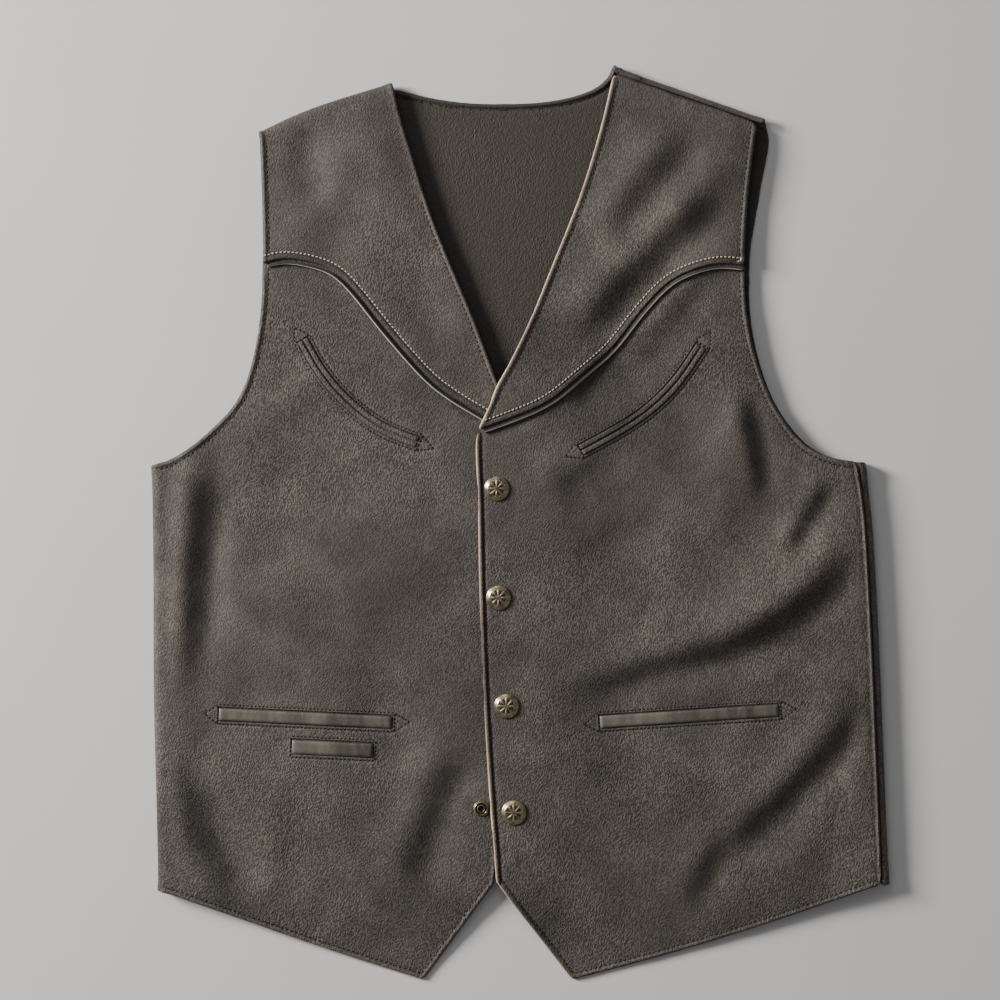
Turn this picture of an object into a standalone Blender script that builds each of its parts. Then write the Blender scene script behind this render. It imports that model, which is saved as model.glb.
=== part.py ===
# A western vest in pebbled leather, laid flat on its back with its front up.
# Three of its four snaps are fastened and the lowest is undone.
# +X is the viewer's right, which is the wearer's left; +Y is towards the neck; +Z is up.
# Names with left and right use the wearer's sides. The tables are in millimetres.
import math
from bisect import bisect

import bmesh
import bpy
from mathutils import Vector
from mathutils.geometry import delaunay_2d_cdt
from mathutils.kdtree import KDTree

MM = 0.001

# Leather and the space between back and front
WALL = 1.6 * MM
SEAM_GAP = 0.3 * MM
HOLLOW = 5.2 * MM
SIDE_RADIUS = 4.2 * MM
SWELL = 2 * SIDE_RADIUS - HOLLOW
SWELL_REACH = 55 * MM
TIP_FLOOR_GAP = 0.5 * MM
TIP_REACH = 78 * MM
YOKE_LIFT = WALL + SEAM_GAP
SHOULDER_RADIUS = (HOLLOW - YOKE_LIFT) / 2
YOKE_RADIUS = SHOULDER_RADIUS + YOKE_LIFT

# The left front laps over the right one, which leaves room for the snaps
PLACKET_GAP = 3.0 * MM
PLACKET_LIFT = WALL + PLACKET_GAP
PLACKET_FLAT = 20 * MM
PLACKET_FALL = 60 * MM

# Spacing of the points in a wall
EDGE_STEP = 8.5 * MM
PANEL_STEP = 16 * MM
BACK_STEP = 42 * MM
EDGE_CLEAR = 1.5 * MM
CROWD = 2.4 * MM
WRAP_ROWS = 7
WRAP_STEP = 15 * MM

# Turned edges, from the edge inwards: inset, height above the wall
RIMS = {
    "turned": ((0.9, 0.35), (2.2, 0.6), (4.4, -0.25)),
    "lapped": ((0.0, -0.5), (1.6, 0.25), (4.2, -0.2)),
    "ridge": ((0.0, 0.2), (1.3, 0.9), (3.4, -0.1)),
}

# Yoke seam: distances from its row of stitches
YOKE_EDGE = 4.2 * MM
PIPING_PLACE = 7.3 * MM
PIPING_RADIUS = 0.95 * MM
FRONT_LAP = 5.5 * MM
QUIET_RIM = 12 * MM

MIDDLE_X = 1.75

# Outlines: x, y
SIDE_RIGHT = (
    (-273.5, 60), (-273.3, 44.5), (-272.2, -27.7), (-271.8, -134), (-269.8, -210), (-268.2, -282),
)
SIDE_LEFT = ((257.8, 60), (258.8, 46.7), (262.2, 20), (265.2, -10), (269.4, -88.5), (272.8, -170), (277, -275))
SHOULDER_RIGHT = ((-200, 291.2), (-176.7, 303), (-150.1, 313.8), (-112.1, 325.8), (-92, 331.5))
SHOULDER_LEFT = ((70, 344.1), (99.2, 333.8), (150.1, 316.2), (186, 303.6))
HEM_RIGHT = (
    (-290, -279.5), (-268, -280.9), (-241.3, -289.9), (-181.3, -312), (-125, -331.5), (-71.8, -348.5),
)
HEM_RIGHT_INNER = ((-71.8, -348.5), (-17.1, -273.2))
HEM_LEFT_INNER = ((-16.3, -271.7), (41.4, -348.5))
HEM_LEFT = ((41.4, -348.5), (120, -327), (200, -301.5), (276.9, -274))
EDGE_RIGHT = (
    (-17.1, -273.2), (-12.5, -225), (-6, -190), (1.5, -138), (-1.4, -56), (-2, 26),
    (-1.6, 62), (-4, 84), (-14.8, 107.5), (-31.5, 152.4), (-49, 194.2), (-65, 234.5),
    (-81, 284), (-92, 322), (-95.4, 347),
)
EDGE_LEFT = (
    (-16.3, -271.7), (-17.9, -248.1), (-20.9, -210.1), (-25.5, -134.1), (-28.5, -58.1),
    (-30, 17.9), (-31.5, 55.9), (-29.6, 71), (-22.4, 87), (-14.8, 106.8), (-7.2, 119.7),
    (10.3, 156.2), (26.2, 195.7), (47.5, 249.7), (62.7, 299.1), (73.3, 342.7),
)
ARMHOLE_RIGHT = (
    (-196.5, 310), (-195.9, 292), (-194.9, 268), (-193.8, 235), (-193.4, 201.8), (-197.2, 147.1),
    (-210.9, 97.7), (-237.5, 67.3), (-260, 50.5), (-273.5, 45.6), (-291, 43.5),
)
ARMHOLE_LEFT = (
    (258.5, 47.2), (237.5, 50.5), (214.7, 63.5), (191.9, 97.7), (176.7, 147.1), (172.9, 200.3),
    (175.2, 245.9), (178.2, 276.3), (182, 304.7),
)
BACK_HEM = ((-267.9, -280.5), (-140, -271), (-12, -266.5), (130, -268.5), (277, -273.5), (294, -274.5))
BACK_ARMHOLE_LEFT = (
    (276, 46.5), (259, 47), (238, 51.5), (216, 66), (194, 99), (180, 148), (178, 200),
    (185, 250), (192.5, 290), (190, 303), (186.5, 319),
)
BACK_NECK = ((73.3, 357), (71.8, 343), (58, 331), (28, 322.5), (-11, 320), (-50, 322), (-93.6, 330.5))
BACK_ARMHOLE_RIGHT = (
    (-194.8, 292.8), (-193.6, 268), (-192.6, 235), (-192.2, 201.8), (-196, 147.1),
    (-209.8, 98), (-237, 67.8), (-259.5, 51), (-272.8, 45.8),
)

# Stitched seams of the yokes: x, y
YOKE_SEAM_RIGHT = (
    (-200, 200.5), (-181.3, 205.3), (-166.1, 204.8), (-147.8, 200.3), (-134.1, 193.4),
    (-119.7, 179), (-95.4, 148.6), (-66.5, 115.9), (-48, 101), (-23.9, 86.3), (8, 68),
)
YOKE_SEAM_LEFT = (
    (180, 199.5), (154.7, 201.8), (133.4, 197.2), (112.1, 186.6), (90.8, 164.5), (68.8, 136.4),
    (47.5, 117.4), (26.2, 99.6), (11.8, 91.4), (-1.9, 85.8), (-13.3, 81.4), (-36, 73.5),
)

# Soft ridges in the fronts: points of the crest, its half width and its height
RIDGES = (
    (((236, -14), (188, -57), (128, -78), (62, -96)), 17, 3.4),
    (((246, -70), (196, -104), (132, -122), (72, -131)), 14, 2.4),
    (((240, -138), (207, -192), (190, -226)), 14, 2.2),
    (((164, -196), (143, -245)), 13, 1.6),
    (((158, 74), (168, 32)), 13, 1.8),
    (((190, 62), (200, 8)), 14, 1.6),
    (((88, 208), (128, 250), (160, 286)), 20, 2.6),
    (((-112, 288), (-146, 246), (-170, 218)), 20, 2.2),
    (((-230, 40), (-236, -40), (-230, -108)), 15, 2.6),
    (((-236, -196), (-214, -246), (-192, -278)), 15, 2.2),
    (((-112, -215), (-98, -262)), 16, 1.6),
)
RIDGE_FADE = 26 * MM

# Curved chest pockets, their middle line from the outer end inwards: x, y
CHEST_RIGHT = ((-163.5, 139.5), (-151.5, 118.5), (-136.5, 99.5), (-116.5, 81.5), (-98, 70.5), (-76, 61.8))
CHEST_LEFT = ((139.8, 135), (127.5, 116.5), (114.5, 100.5), (97.5, 85), (77, 71.5), (48.5, 55.8))
LIP_WIDTH = 3.9 * MM
LIP_PLACE = 2.3 * MM
LIP_HEIGHT = 1.3 * MM
LIP_TAPER = 5 * MM

# Straight welts: both ends of the middle line, then the width
WELT_RIGHT = ((-226.9, -145), (-95.4, -151.3))
WELT_LEFT = ((62.9, -150.9), (198.6, -142))
WELT_SMALL = ((-171.5, -169.8), (-109.8, -172.6))
WELT_WIDTH = 9.8 * MM
SMALL_WIDTH = 11 * MM
WELT_HEIGHT = 1.4 * MM

# Snaps, from the highest: x and y of the cap, x and y of the stud
SNAPS = (
    (-15.7, 26.5, -15.7, 26.5),
    (-14.4, -56.2, -14.4, -56.2),
    (-8.4, -138.5, -8.4, -138.5),
    (-2.7, -219.3, -27.6, -216.8),
)
# Turned profiles, from the axis below to the axis above: radius, height
CAP_PROFILE = ((9.3, 0), (9.5, 0.3), (9.3, 0.9), (8.3, 1.7), (6.4, 2.45), (3.6, 2.95))
CAP_CROWN = 3.1
STUD_PROFILE = ((6, 0), (6, 0.5), (3.4, 0.6), (3.1, 2.0), (3.3, 2.4), (2.2, 2.4), (2, 0.9))
STUD_CROWN = 0.9
SOCKET_RING = ((4.0, 0), (5.6, 0), (5.6, 1.2), (4.0, 1.2))
CAP_CLEARANCE = 0.5 * MM


def resample(line, step):
    """A polyline through the same course with even steps."""
    lengths = [(b - a).length for a, b in zip(line, line[1:])]
    total = sum(lengths)
    count = max(1, round(total / step))
    found, index, passed = [line[0]], 0, 0.0
    for k in range(1, count):
        goal = total * k / count
        while passed + lengths[index] < goal:
            passed += lengths[index]
            index += 1
        found.append(line[index].lerp(line[index + 1], (goal - passed) / lengths[index]))
    return [*found, line[-1]]


def curve(rows, step=EDGE_STEP):
    """A smooth line in metres through rows of x, y in millimetres."""
    points = [Vector((x - MIDDLE_X, y)) * MM for x, y in rows]
    padded = [2 * points[0] - points[1], *points, 2 * points[-1] - points[-2]]
    fine = []
    for a, b, c, d in zip(padded, padded[1:], padded[2:], padded[3:]):
        for k in range(12):
            t = k / 12
            bend = (2 * a - 5 * b + 4 * c - d) * t * t + (3 * b - 3 * c + d - a) * t**3
            fine.append((2 * b + (c - a) * t + bend) / 2)
    return resample([*fine, points[-1]], step)


def reader(line, axis):
    """Reads the other coordinate along a line that only rises or falls on one axis."""
    rows = sorted((point[axis], point[1 - axis]) for point in line)
    keys = [row[0] for row in rows]

    def read(value):
        i = min(max(bisect(keys, value), 1), len(keys) - 1)
        (a, u), (b, v) = rows[i - 1], rows[i]
        return u + (v - u) * (value - a) / (b - a)

    return read


def normals_of(line):
    """For each point of an open line, the unit vector to its left."""
    ends = [line[0], *line, line[-1]]
    along = [(c - a).normalized() for a, c in zip(ends, ends[2:])]
    return [Vector((-d.y, d.x)) for d in along]


def beside(line, distance):
    return [point + n * distance for point, n in zip(line, normals_of(line))]


def ease(t):
    t = min(max(t, 0.0), 1.0)
    return t * t * (3 - 2 * t)


fold_right = reader(curve(SIDE_RIGHT), 1)
fold_left = reader(curve(SIDE_LEFT), 1)
shoulder_right = reader(curve(SHOULDER_RIGHT), 0)
shoulder_left = reader(curve(SHOULDER_LEFT), 0)
back_hem = reader(curve(BACK_HEM), 0)
under_edge = reader(curve(((-71.8, -348.5), *EDGE_RIGHT)), 1)
RIDGE_LINES = [
    ([Vector((x - MIDDLE_X, y)) * MM for x, y in crest], width * MM, height * MM)
    for crest, width, height in RIDGES
]
SHOULDER_SLOPE = math.cos(math.radians(20))
SHOULDER_SINE = math.sin(math.radians(20))


def distance_to(line, spot):
    best = 1.0
    for a, b in zip(line, line[1:]):
        run = b - a
        t = min(max((spot - a).dot(run) / run.length_squared, 0.0), 1.0)
        best = min(best, (spot - a - run * t).length)
    return best


def front_level(x, y):
    """Height of the inside of a lower front, where it doesn't wrap round a fold."""
    inboard = min(x - fold_right(y), fold_left(y) - x)
    level = WALL + HOLLOW + SWELL * (1 - ease(inboard / SWELL_REACH))
    spot = Vector((x, y))
    ridges = sum(h * math.exp(-((distance_to(line, spot) / w) ** 2)) for line, w, h in RIDGE_LINES)
    below_shoulder = (shoulder_right(x) if x < 0 else shoulder_left(x)) - y
    level += ridges * ease(min(inboard, below_shoulder) / RIDGE_FADE)
    return level + (TIP_FLOOR_GAP - level) * ease((back_hem(x) - y) / TIP_REACH)


def turned(distance, radius, mid_radius):
    """How far a wrapped point lies out from the fold and above its axis."""
    angle = distance / mid_radius
    return radius * math.sin(angle), radius * math.cos(angle)


def front_base(x, y):
    """The inside of the fronts. The right one wraps round the side and over the shoulder."""
    past_side = fold_right(y) - x
    if past_side > 0:
        out, up = turned(past_side, SIDE_RADIUS, SIDE_RADIUS + WALL / 2)
        return Vector((fold_right(y) - out, y, WALL + SIDE_RADIUS + up))
    past_shoulder = (y - shoulder_right(x)) * SHOULDER_SLOPE
    if x < 0 and past_shoulder > 0:
        out, up = turned(past_shoulder, SHOULDER_RADIUS, YOKE_RADIUS + WALL / 2)
        top = WALL + HOLLOW - SHOULDER_RADIUS
        return Vector((x, shoulder_right(x) + out / SHOULDER_SLOPE, top + up))
    return Vector((x, y, front_level(x, y)))


def back_base(x, y):
    """The inside of the back, which wraps up round the left side and over the left shoulder."""
    past_side = x - fold_left(y) - SEAM_GAP
    if past_side > 0 and y < 60 * MM:
        out, up = turned(past_side, SIDE_RADIUS, SIDE_RADIUS + WALL / 2)
        return Vector((x - past_side + out, y, WALL + SIDE_RADIUS - up))
    past_shoulder = (y - shoulder_left(x) - SEAM_GAP) * SHOULDER_SLOPE
    if x > 60 * MM and past_shoulder > 0:
        out, up = turned(past_shoulder, YOKE_RADIUS, YOKE_RADIUS + WALL / 2)
        fold = shoulder_left(x) + SEAM_GAP
        return Vector((x, fold + out / SHOULDER_SLOPE, WALL + YOKE_RADIUS - up))
    return Vector((x, y, WALL))


def no_lift(x, y):
    return 0.0


def yoke_lift(x, y):
    return YOKE_LIFT


def placket_lift(x, y):
    """The left front clears the right one by the height of a snap, and comes down beside it."""
    return PLACKET_LIFT * (1 - ease((x - under_edge(y) - PLACKET_FLAT) / PLACKET_FALL))


def placket_yoke_lift(x, y):
    return placket_lift(x, y) + YOKE_LIFT


def normal_at(base, x, y):
    reach = 0.1 * MM
    side = base(x + reach, y) - base(x - reach, y)
    rise = base(x, y + reach) - base(x, y - reach)
    return side.cross(rise).normalized()


def place(base, spot, height):
    """The point at this height over a base surface."""
    return base(*spot) + normal_at(base, *spot) * height


def outline(*pieces):
    """Joins (kind, line) pieces into a closed outline of [point, kind]."""
    found = []
    for i, (kind, line) in enumerate(pieces):
        before = pieces[i - 1][0]
        corner = "plain" if "plain" in (kind, before) else kind
        found.append([line[0], corner])
        found += [[point, kind] for point in line[1:-1]]
    return found


def cut(whole, seam, above):
    """The part of an outline above or below a seam, which runs on as the new edge."""
    height = reader(seam, 0)
    keep = [(point.y > height(point.x)) == above for point, _ in whole]
    start = next(i for i in range(len(whole)) if keep[i] and not keep[i - 1])
    order = [(start + k) % len(whole) for k in range(len(whole))]
    kept = [i for i in order if keep[i]]

    def crossing(inside, outside):
        a, b = whole[inside][0], whole[outside][0]
        rise_a, rise_b = a.y - height(a.x), b.y - height(b.x)
        return a.lerp(b, rise_a / (rise_a - rise_b))

    first = crossing(kept[0], kept[0] - 1)
    last = crossing(kept[-1], (kept[-1] + 1) % len(whole))
    low, high = sorted((first.x, last.x))
    margin = 3 * MM
    run = sorted((p for p in seam if low + margin < p.x < high - margin), key=lambda p: p.x)
    if last.x > first.x:
        run.reverse()
    kind = "lapped" if above else "plain"
    return [[first, "plain"], *(whole[i] for i in kept), [last, "plain"], *([p, kind] for p in run)]


def quiet(whole, seam, depth):
    """No turned edge shows near a seam that another piece covers."""
    height = reader(seam, 0)
    return [[p, "plain" if p.y > height(p.x) - depth else kind] for p, kind in whole]


def insets(whole):
    """For each point of an outline, its inward direction, lengthened at a corner."""
    points = [point for point, _ in whole]
    found = []
    for i, here in enumerate(points):
        before = (here - points[i - 1]).normalized()
        after = (points[(i + 1) % len(points)] - here).normalized()
        middle = (Vector((-before.y, before.x)) + Vector((-after.y, after.x))).normalized()
        share = max(middle.dot(Vector((-before.y, before.x))), 0.5)
        found.append(middle / share)
    return found


def inside(points, spot):
    crossings = 0
    for a, b in zip(points, [*points[1:], points[0]]):
        if (a.y > spot.y) != (b.y > spot.y):
            crossings += spot.x < a.x + (b.x - a.x) * (spot.y - a.y) / (b.y - a.y)
    return crossings % 2 == 1


def field(points, fixed, spacing, clear):
    """A hexagonal field of points inside an outline, clear of the points already there."""
    tree = KDTree(len(fixed))
    for i, point in enumerate(fixed):
        tree.insert((*point, 0), i)
    tree.balance()
    low_x, high_x = min(p.x for p in points), max(p.x for p in points)
    low_y, high_y = min(p.y for p in points), max(p.y for p in points)
    row_step = spacing * math.sqrt(3) / 2
    found = []
    for j in range(1, int((high_y - low_y) / row_step) + 1):
        for i in range(int((high_x - low_x) / spacing) + 1):
            spot = Vector((low_x + (i + j % 2 / 2) * spacing, low_y + j * row_step))
            if inside(points, spot) and tree.find((*spot, 0))[2] > clear:
                found.append(spot)
    return found


def thinned(points, fixed, clear):
    """Those points that aren't crowded by the fixed ones or by each other."""
    kept = []
    for point in points:
        if all((point - other).length > clear for other in (*fixed, *kept)):
            kept.append(point)
    return kept


def wall(name, whole, base, lift, spacing, extra=(), outward=1):
    """A closed wall of leather over an outline, with its turned edges."""
    points = [point for point, _ in whole]
    inward = insets(whole)
    rows = {}
    plan = list(points)
    for i, (point, kind) in enumerate(whole):
        for inset, rise in RIMS.get(kind, ())[1:]:
            spot = point + inward[i] * inset * MM
            if all((spot - other).length > 0.6 * inset * MM for other in points):
                rows[len(plan)] = rise * MM
                plan.append(spot)
    edge = [*points, points[0]]
    within = [p for p in extra if inside(points, p) and distance_to(edge, p) > EDGE_CLEAR]
    plan += thinned(within, plan, CROWD)
    plan += field(points, plan, spacing, 0.55 * min(spacing, PANEL_STEP))

    loop = list(range(len(points)))
    found, _, faces, sources, _, _ = delaunay_2d_cdt(plan, [], [loop], 1, 1e-7)
    mesh = bmesh.new()
    near, far = [], []
    for spot, source in zip(found, sources):
        index = source[0]
        rise, shift = rows.get(index, 0.0), Vector((0, 0))
        if index < len(points) and whole[index][1] in RIMS:
            inset, edge_rise = RIMS[whole[index][1]][0]
            rise, shift = edge_rise * MM, inward[index] * inset * MM
        height = lift(*spot)
        showing, hidden = height + WALL, height
        if outward < 0:
            showing, hidden = 0.0, -WALL
        elif rise:
            rise *= ease((normal_at(base, *spot).z + 0.2) / 0.7)
        far.append(mesh.verts.new(place(base, spot + shift, showing + rise)))
        near.append(mesh.verts.new(place(base, spot, hidden)))

    sides = {}
    for face in faces:
        a, b, c = (found[i] for i in face)
        ring = list(face) if (b - a).cross(c - a) > 0 else list(reversed(face))
        mesh.faces.new([far[i] for i in ring])
        mesh.faces.new([near[i] for i in reversed(ring)])
        for i, j in zip(ring, ring[1:] + ring[:1]):
            sides[(i, j)] = sides.get((i, j), 0) + 1
    for i, j in sides:
        if (j, i) not in sides:
            mesh.faces.new((far[j], far[i], near[i], near[j]))
    return finish(name, mesh, LEATHER)


def finish(name, mesh, material):
    bmesh.ops.triangulate(mesh, faces=mesh.faces)
    data = bpy.data.meshes.new(name)
    mesh.to_mesh(data)
    mesh.free()
    data.shade_smooth()
    data.set_sharp_from_angle(angle=math.radians(40))
    data.materials.append(material)
    obj = bpy.data.objects.new(name, data)
    bpy.context.collection.objects.link(obj)
    return obj


def strip(name, line, section, base, lift, material, taper=0.0):
    """Sweeps a closed section of (across, up) along a line on a panel."""
    mesh = bmesh.new()
    rings = []
    passed = [0.0]
    for a, b in zip(line, line[1:]):
        passed.append(passed[-1] + (b - a).length)
    for point, n, here in zip(line, normals_of(line), passed):
        end = min(here, passed[-1] - here)
        size = 1.0 if end >= taper else 0.45 + 0.55 * math.sin(math.pi / 2 * end / taper)
        ring = []
        for sideways, up in section:
            spot = point + n * sideways * size
            height = lift(*spot) + WALL + SEAM_GAP + up * size
            ring.append(mesh.verts.new(place(base, spot, height)))
        rings.append(ring)
    count = len(section)
    for ring, after in zip(rings, rings[1:]):
        for i in range(count):
            j = (i + 1) % count
            mesh.faces.new((ring[i], ring[j], after[j], after[i]))
    mesh.faces.new(list(reversed(rings[0])))
    mesh.faces.new(rings[-1])
    bmesh.ops.recalc_face_normals(mesh, faces=mesh.faces)
    return finish(name, mesh, material)


def rod_section(radius, sides=8):
    angles = [2 * math.pi * k / sides for k in range(sides)]
    return [(radius * math.cos(a), radius + radius * math.sin(a)) for a in angles]


def lip_section(middle):
    """A folded lip: flat below and rounded above."""
    rows = ((-0.5, 0.0), (0.5, 0.0), (0.5, 0.5), (0.3, 0.92), (0.0, 1.0), (-0.3, 0.92), (-0.5, 0.5))
    return [(middle + x * LIP_WIDTH, z * LIP_HEIGHT) for x, z in rows]


def welt_section(width):
    rows = ((-0.5, 0.0), (0.5, 0.0), (0.5, 0.6), (0.4, 1.0), (-0.4, 1.0), (-0.5, 0.6))
    return [(x * width, z * WELT_HEIGHT) for x, z in rows]


def turned_piece(name, spot, base, height, profile, crown, material, sides):
    """A turned piece with a closed underside, or a ring if it has no crown."""
    x, y = spot
    axis = normal_at(base, x, y)
    foot = base(x, y) + axis * height
    across = axis.orthogonal().normalized()
    mesh = bmesh.new()
    rings = []
    for radius, up in profile:
        ring = []
        for k in range(sides):
            angle = 2 * math.pi * k / sides
            arm = across * math.cos(angle) + axis.cross(across) * math.sin(angle)
            ring.append(mesh.verts.new(foot + arm * radius * MM + axis * up * MM))
        rings.append(ring)
    pairs = list(zip(rings, rings[1:]))
    if crown is None:
        pairs.append((rings[-1], rings[0]))
    for ring, after in pairs:
        for i in range(sides):
            j = (i + 1) % sides
            mesh.faces.new((ring[i], ring[j], after[j], after[i]))
    if crown is not None:
        mesh.faces.new(list(reversed(rings[0])))
        tip = mesh.verts.new(foot + axis * crown * MM)
        for i in range(sides):
            mesh.faces.new((rings[-1][i], rings[-1][(i + 1) % sides], tip))
    bmesh.ops.recalc_face_normals(mesh, faces=mesh.faces)
    return finish(name, mesh, material)


def material(name, colour, roughness, metallic=0.0):
    made = bpy.data.materials.new(name)
    made.use_nodes = True
    shader = made.node_tree.nodes["Principled BSDF"]
    shader.inputs["Base Color"].default_value = (*colour, 1)
    shader.inputs["Roughness"].default_value = roughness
    shader.inputs["Metallic"].default_value = metallic
    return made


for old in list(bpy.data.objects):
    bpy.data.objects.remove(old, do_unlink=True)

LEATHER = material("pebbled leather", (0.070, 0.060, 0.050), 0.75)
WELT = material("smooth welt leather", (0.082, 0.074, 0.060), 0.5)
METAL = material("aged nickel", (0.55, 0.48, 0.36), 0.35, 1.0)

wrap_reach = math.pi * (SIDE_RADIUS + WALL / 2)
shoulder_reach = math.pi * (YOKE_RADIUS + WALL / 2) / SHOULDER_SLOPE


def between(low, high, shift=0.0):
    """Places on one lattice, clear of both ends."""
    margin = 0.3 * WRAP_STEP
    first = math.ceil((low + margin - shift) / WRAP_STEP)
    last = math.floor((high - margin - shift) / WRAP_STEP)
    return [shift + k * WRAP_STEP for k in range(first, last + 1)]


def side_row(fold, reach, low, high):
    """Points at one distance past a side fold."""
    return [Vector((fold(y) + reach, y)) for y in (low, *between(low, high), high)]


def shoulder_row(fold, reach, left, right):
    """Points at one distance past a shoulder fold, square to those of the other rows."""
    lean = math.copysign(SHOULDER_SLOPE * SHOULDER_SINE, fold(right) - fold(left))
    places = (left, *between(left, right, -reach * lean), right)
    return [Vector((x, fold(x) + reach)) for x in places]


def stepped(line, past, reach):
    """A line with its points past a fold moved to the rows of that fold."""
    found = [line[0]]
    for a, b in zip(line, line[1:]):
        u, v = past(a) / reach * WRAP_ROWS, past(b) / reach * WRAP_ROWS
        low, high = sorted((u, v))
        marks = [k for k in range(WRAP_ROWS + 1) if low + 0.1 < k < high - 0.1]
        spots = [a.lerp(b, (k - u) / (v - u)) for k in marks]
        found += sorted(spots, key=lambda spot: (spot - a).length)
        if v < -0.3 or b is line[-1]:
            found.append(b)
    return found


def side_fold(fold, reach):
    """Rows of points round a side fold."""
    rows = [side_row(fold, reach * k / WRAP_ROWS, -300 * MM, 60 * MM) for k in range(WRAP_ROWS)]
    return [point for row in rows for point in row]


def shoulder_fold(fold, left, right):
    shares = [shoulder_reach * k / WRAP_ROWS for k in range(WRAP_ROWS)]
    return [point for share in shares for point in shoulder_row(fold, share, left, right)]


def ended(line, start=None, end=None):
    """A line with its ends moved to the given points."""
    return [start or line[0], *line[1:-1], end or line[-1]]


def past_right_side(spot):
    return fold_right(spot.y) - spot.x


def past_left_side(spot):
    return spot.x - fold_left(spot.y) - SEAM_GAP


def past_right_shoulder(spot):
    return spot.y - shoulder_right(spot.x)


def past_left_shoulder(spot):
    return spot.y - shoulder_left(spot.x) - SEAM_GAP


def right_outline():
    hem_start = Vector((fold_right(-280 * MM) - wrap_reach, -280 * MM))
    arm_end = Vector((fold_right(44 * MM) - wrap_reach, 44 * MM))
    edge = curve(EDGE_RIGHT)
    neck_end = Vector((edge[-1].x, shoulder_right(edge[-1].x) + shoulder_reach))
    armhole = curve(ARMHOLE_RIGHT)
    arm_start = Vector((armhole[0].x, shoulder_right(armhole[0].x) + shoulder_reach))
    shoulder = shoulder_row(shoulder_right, shoulder_reach, arm_start.x, neck_end.x)
    side = side_row(fold_right, -wrap_reach, hem_start.y, arm_end.y)
    armhole = stepped(ended(armhole, arm_start, arm_end), past_right_side, wrap_reach)
    armhole = list(reversed(stepped(list(reversed(armhole)), past_right_shoulder, shoulder_reach)))
    hem = stepped(list(reversed(ended(curve(HEM_RIGHT), start=hem_start))), past_right_side, wrap_reach)
    return outline(
        ("turned", list(reversed(hem))),
        ("turned", curve(HEM_RIGHT_INNER)),
        ("turned", stepped(ended(edge, end=neck_end), past_right_shoulder, shoulder_reach)),
        ("plain", list(reversed(shoulder))),
        ("turned", armhole),
        ("plain", list(reversed(side))),
    )


def left_outline():
    hem = curve(HEM_LEFT)
    armhole = curve(ARMHOLE_LEFT)
    low = Vector((fold_left(hem[-1].y), hem[-1].y))
    high = Vector((fold_left(armhole[0].y), armhole[0].y))
    outer = Vector((armhole[-1].x, shoulder_left(armhole[-1].x)))
    edge = curve(EDGE_LEFT)
    inner = Vector((edge[-1].x, shoulder_left(edge[-1].x)))
    return outline(
        ("turned", curve(HEM_LEFT_INNER)),
        ("turned", ended(hem, end=low)),
        ("ridge", side_row(fold_left, 0, low.y, high.y)),
        ("turned", ended(armhole, high, outer)),
        ("plain", list(reversed(shoulder_row(shoulder_left, 0, inner.x, outer.x)))),
        ("turned", list(reversed(ended(edge, end=inner)))),
    )


def back_outline():
    hem = curve(BACK_HEM)
    low = Vector((fold_left(hem[-1].y) + SEAM_GAP + wrap_reach, hem[-1].y))
    armhole = curve(BACK_ARMHOLE_LEFT)
    high = Vector((fold_left(armhole[0].y) + SEAM_GAP + wrap_reach, armhole[0].y))
    past = SEAM_GAP + shoulder_reach
    outer = Vector((armhole[-1].x, shoulder_left(armhole[-1].x) + past))
    neck = curve(BACK_NECK)
    inner = Vector((neck[0].x, shoulder_left(neck[0].x) + past))
    seam = 1.2 * SEAM_GAP
    corner = Vector((neck[-1].x, shoulder_right(neck[-1].x) - seam))
    arm_right = curve(BACK_ARMHOLE_RIGHT)
    top = Vector((arm_right[0].x, shoulder_right(arm_right[0].x) - seam))
    bottom = Vector((fold_right(arm_right[-1].y) + seam, arm_right[-1].y))
    start = Vector((fold_right(hem[0].y) + seam, hem[0].y))
    armhole = stepped(ended(armhole, high, outer), past_left_shoulder, shoulder_reach)
    armhole = stepped(list(reversed(armhole)), past_left_side, wrap_reach)
    neck = stepped(list(reversed(ended(neck, inner, corner))), past_left_shoulder, shoulder_reach)
    return outline(
        ("turned", stepped(ended(hem, start, low), past_left_side, wrap_reach)),
        ("plain", side_row(fold_left, SEAM_GAP + wrap_reach, low.y, high.y)),
        ("turned", list(reversed(armhole))),
        ("plain", list(reversed(shoulder_row(shoulder_left, past, inner.x, outer.x)))),
        ("turned", list(reversed(neck))),
        ("plain", list(reversed(shoulder_row(shoulder_right, -seam, top.x, corner.x)))),
        ("turned", ended(arm_right, top, bottom)),
        ("plain", list(reversed(side_row(fold_right, seam, start.y, bottom.y)))),
    )


def rails(line, *places):
    """Points of a panel that lie right under the edges of what is sewn on it."""
    return [point for place_beside in places for point in beside(line, place_beside)]


def chest_line(rows):
    return curve(rows, 5 * MM)


def straight(ends, step=8 * MM):
    a, b = (Vector((x - MIDDLE_X, y)) * MM for x, y in ends)
    return resample([a, b], step)


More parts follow.
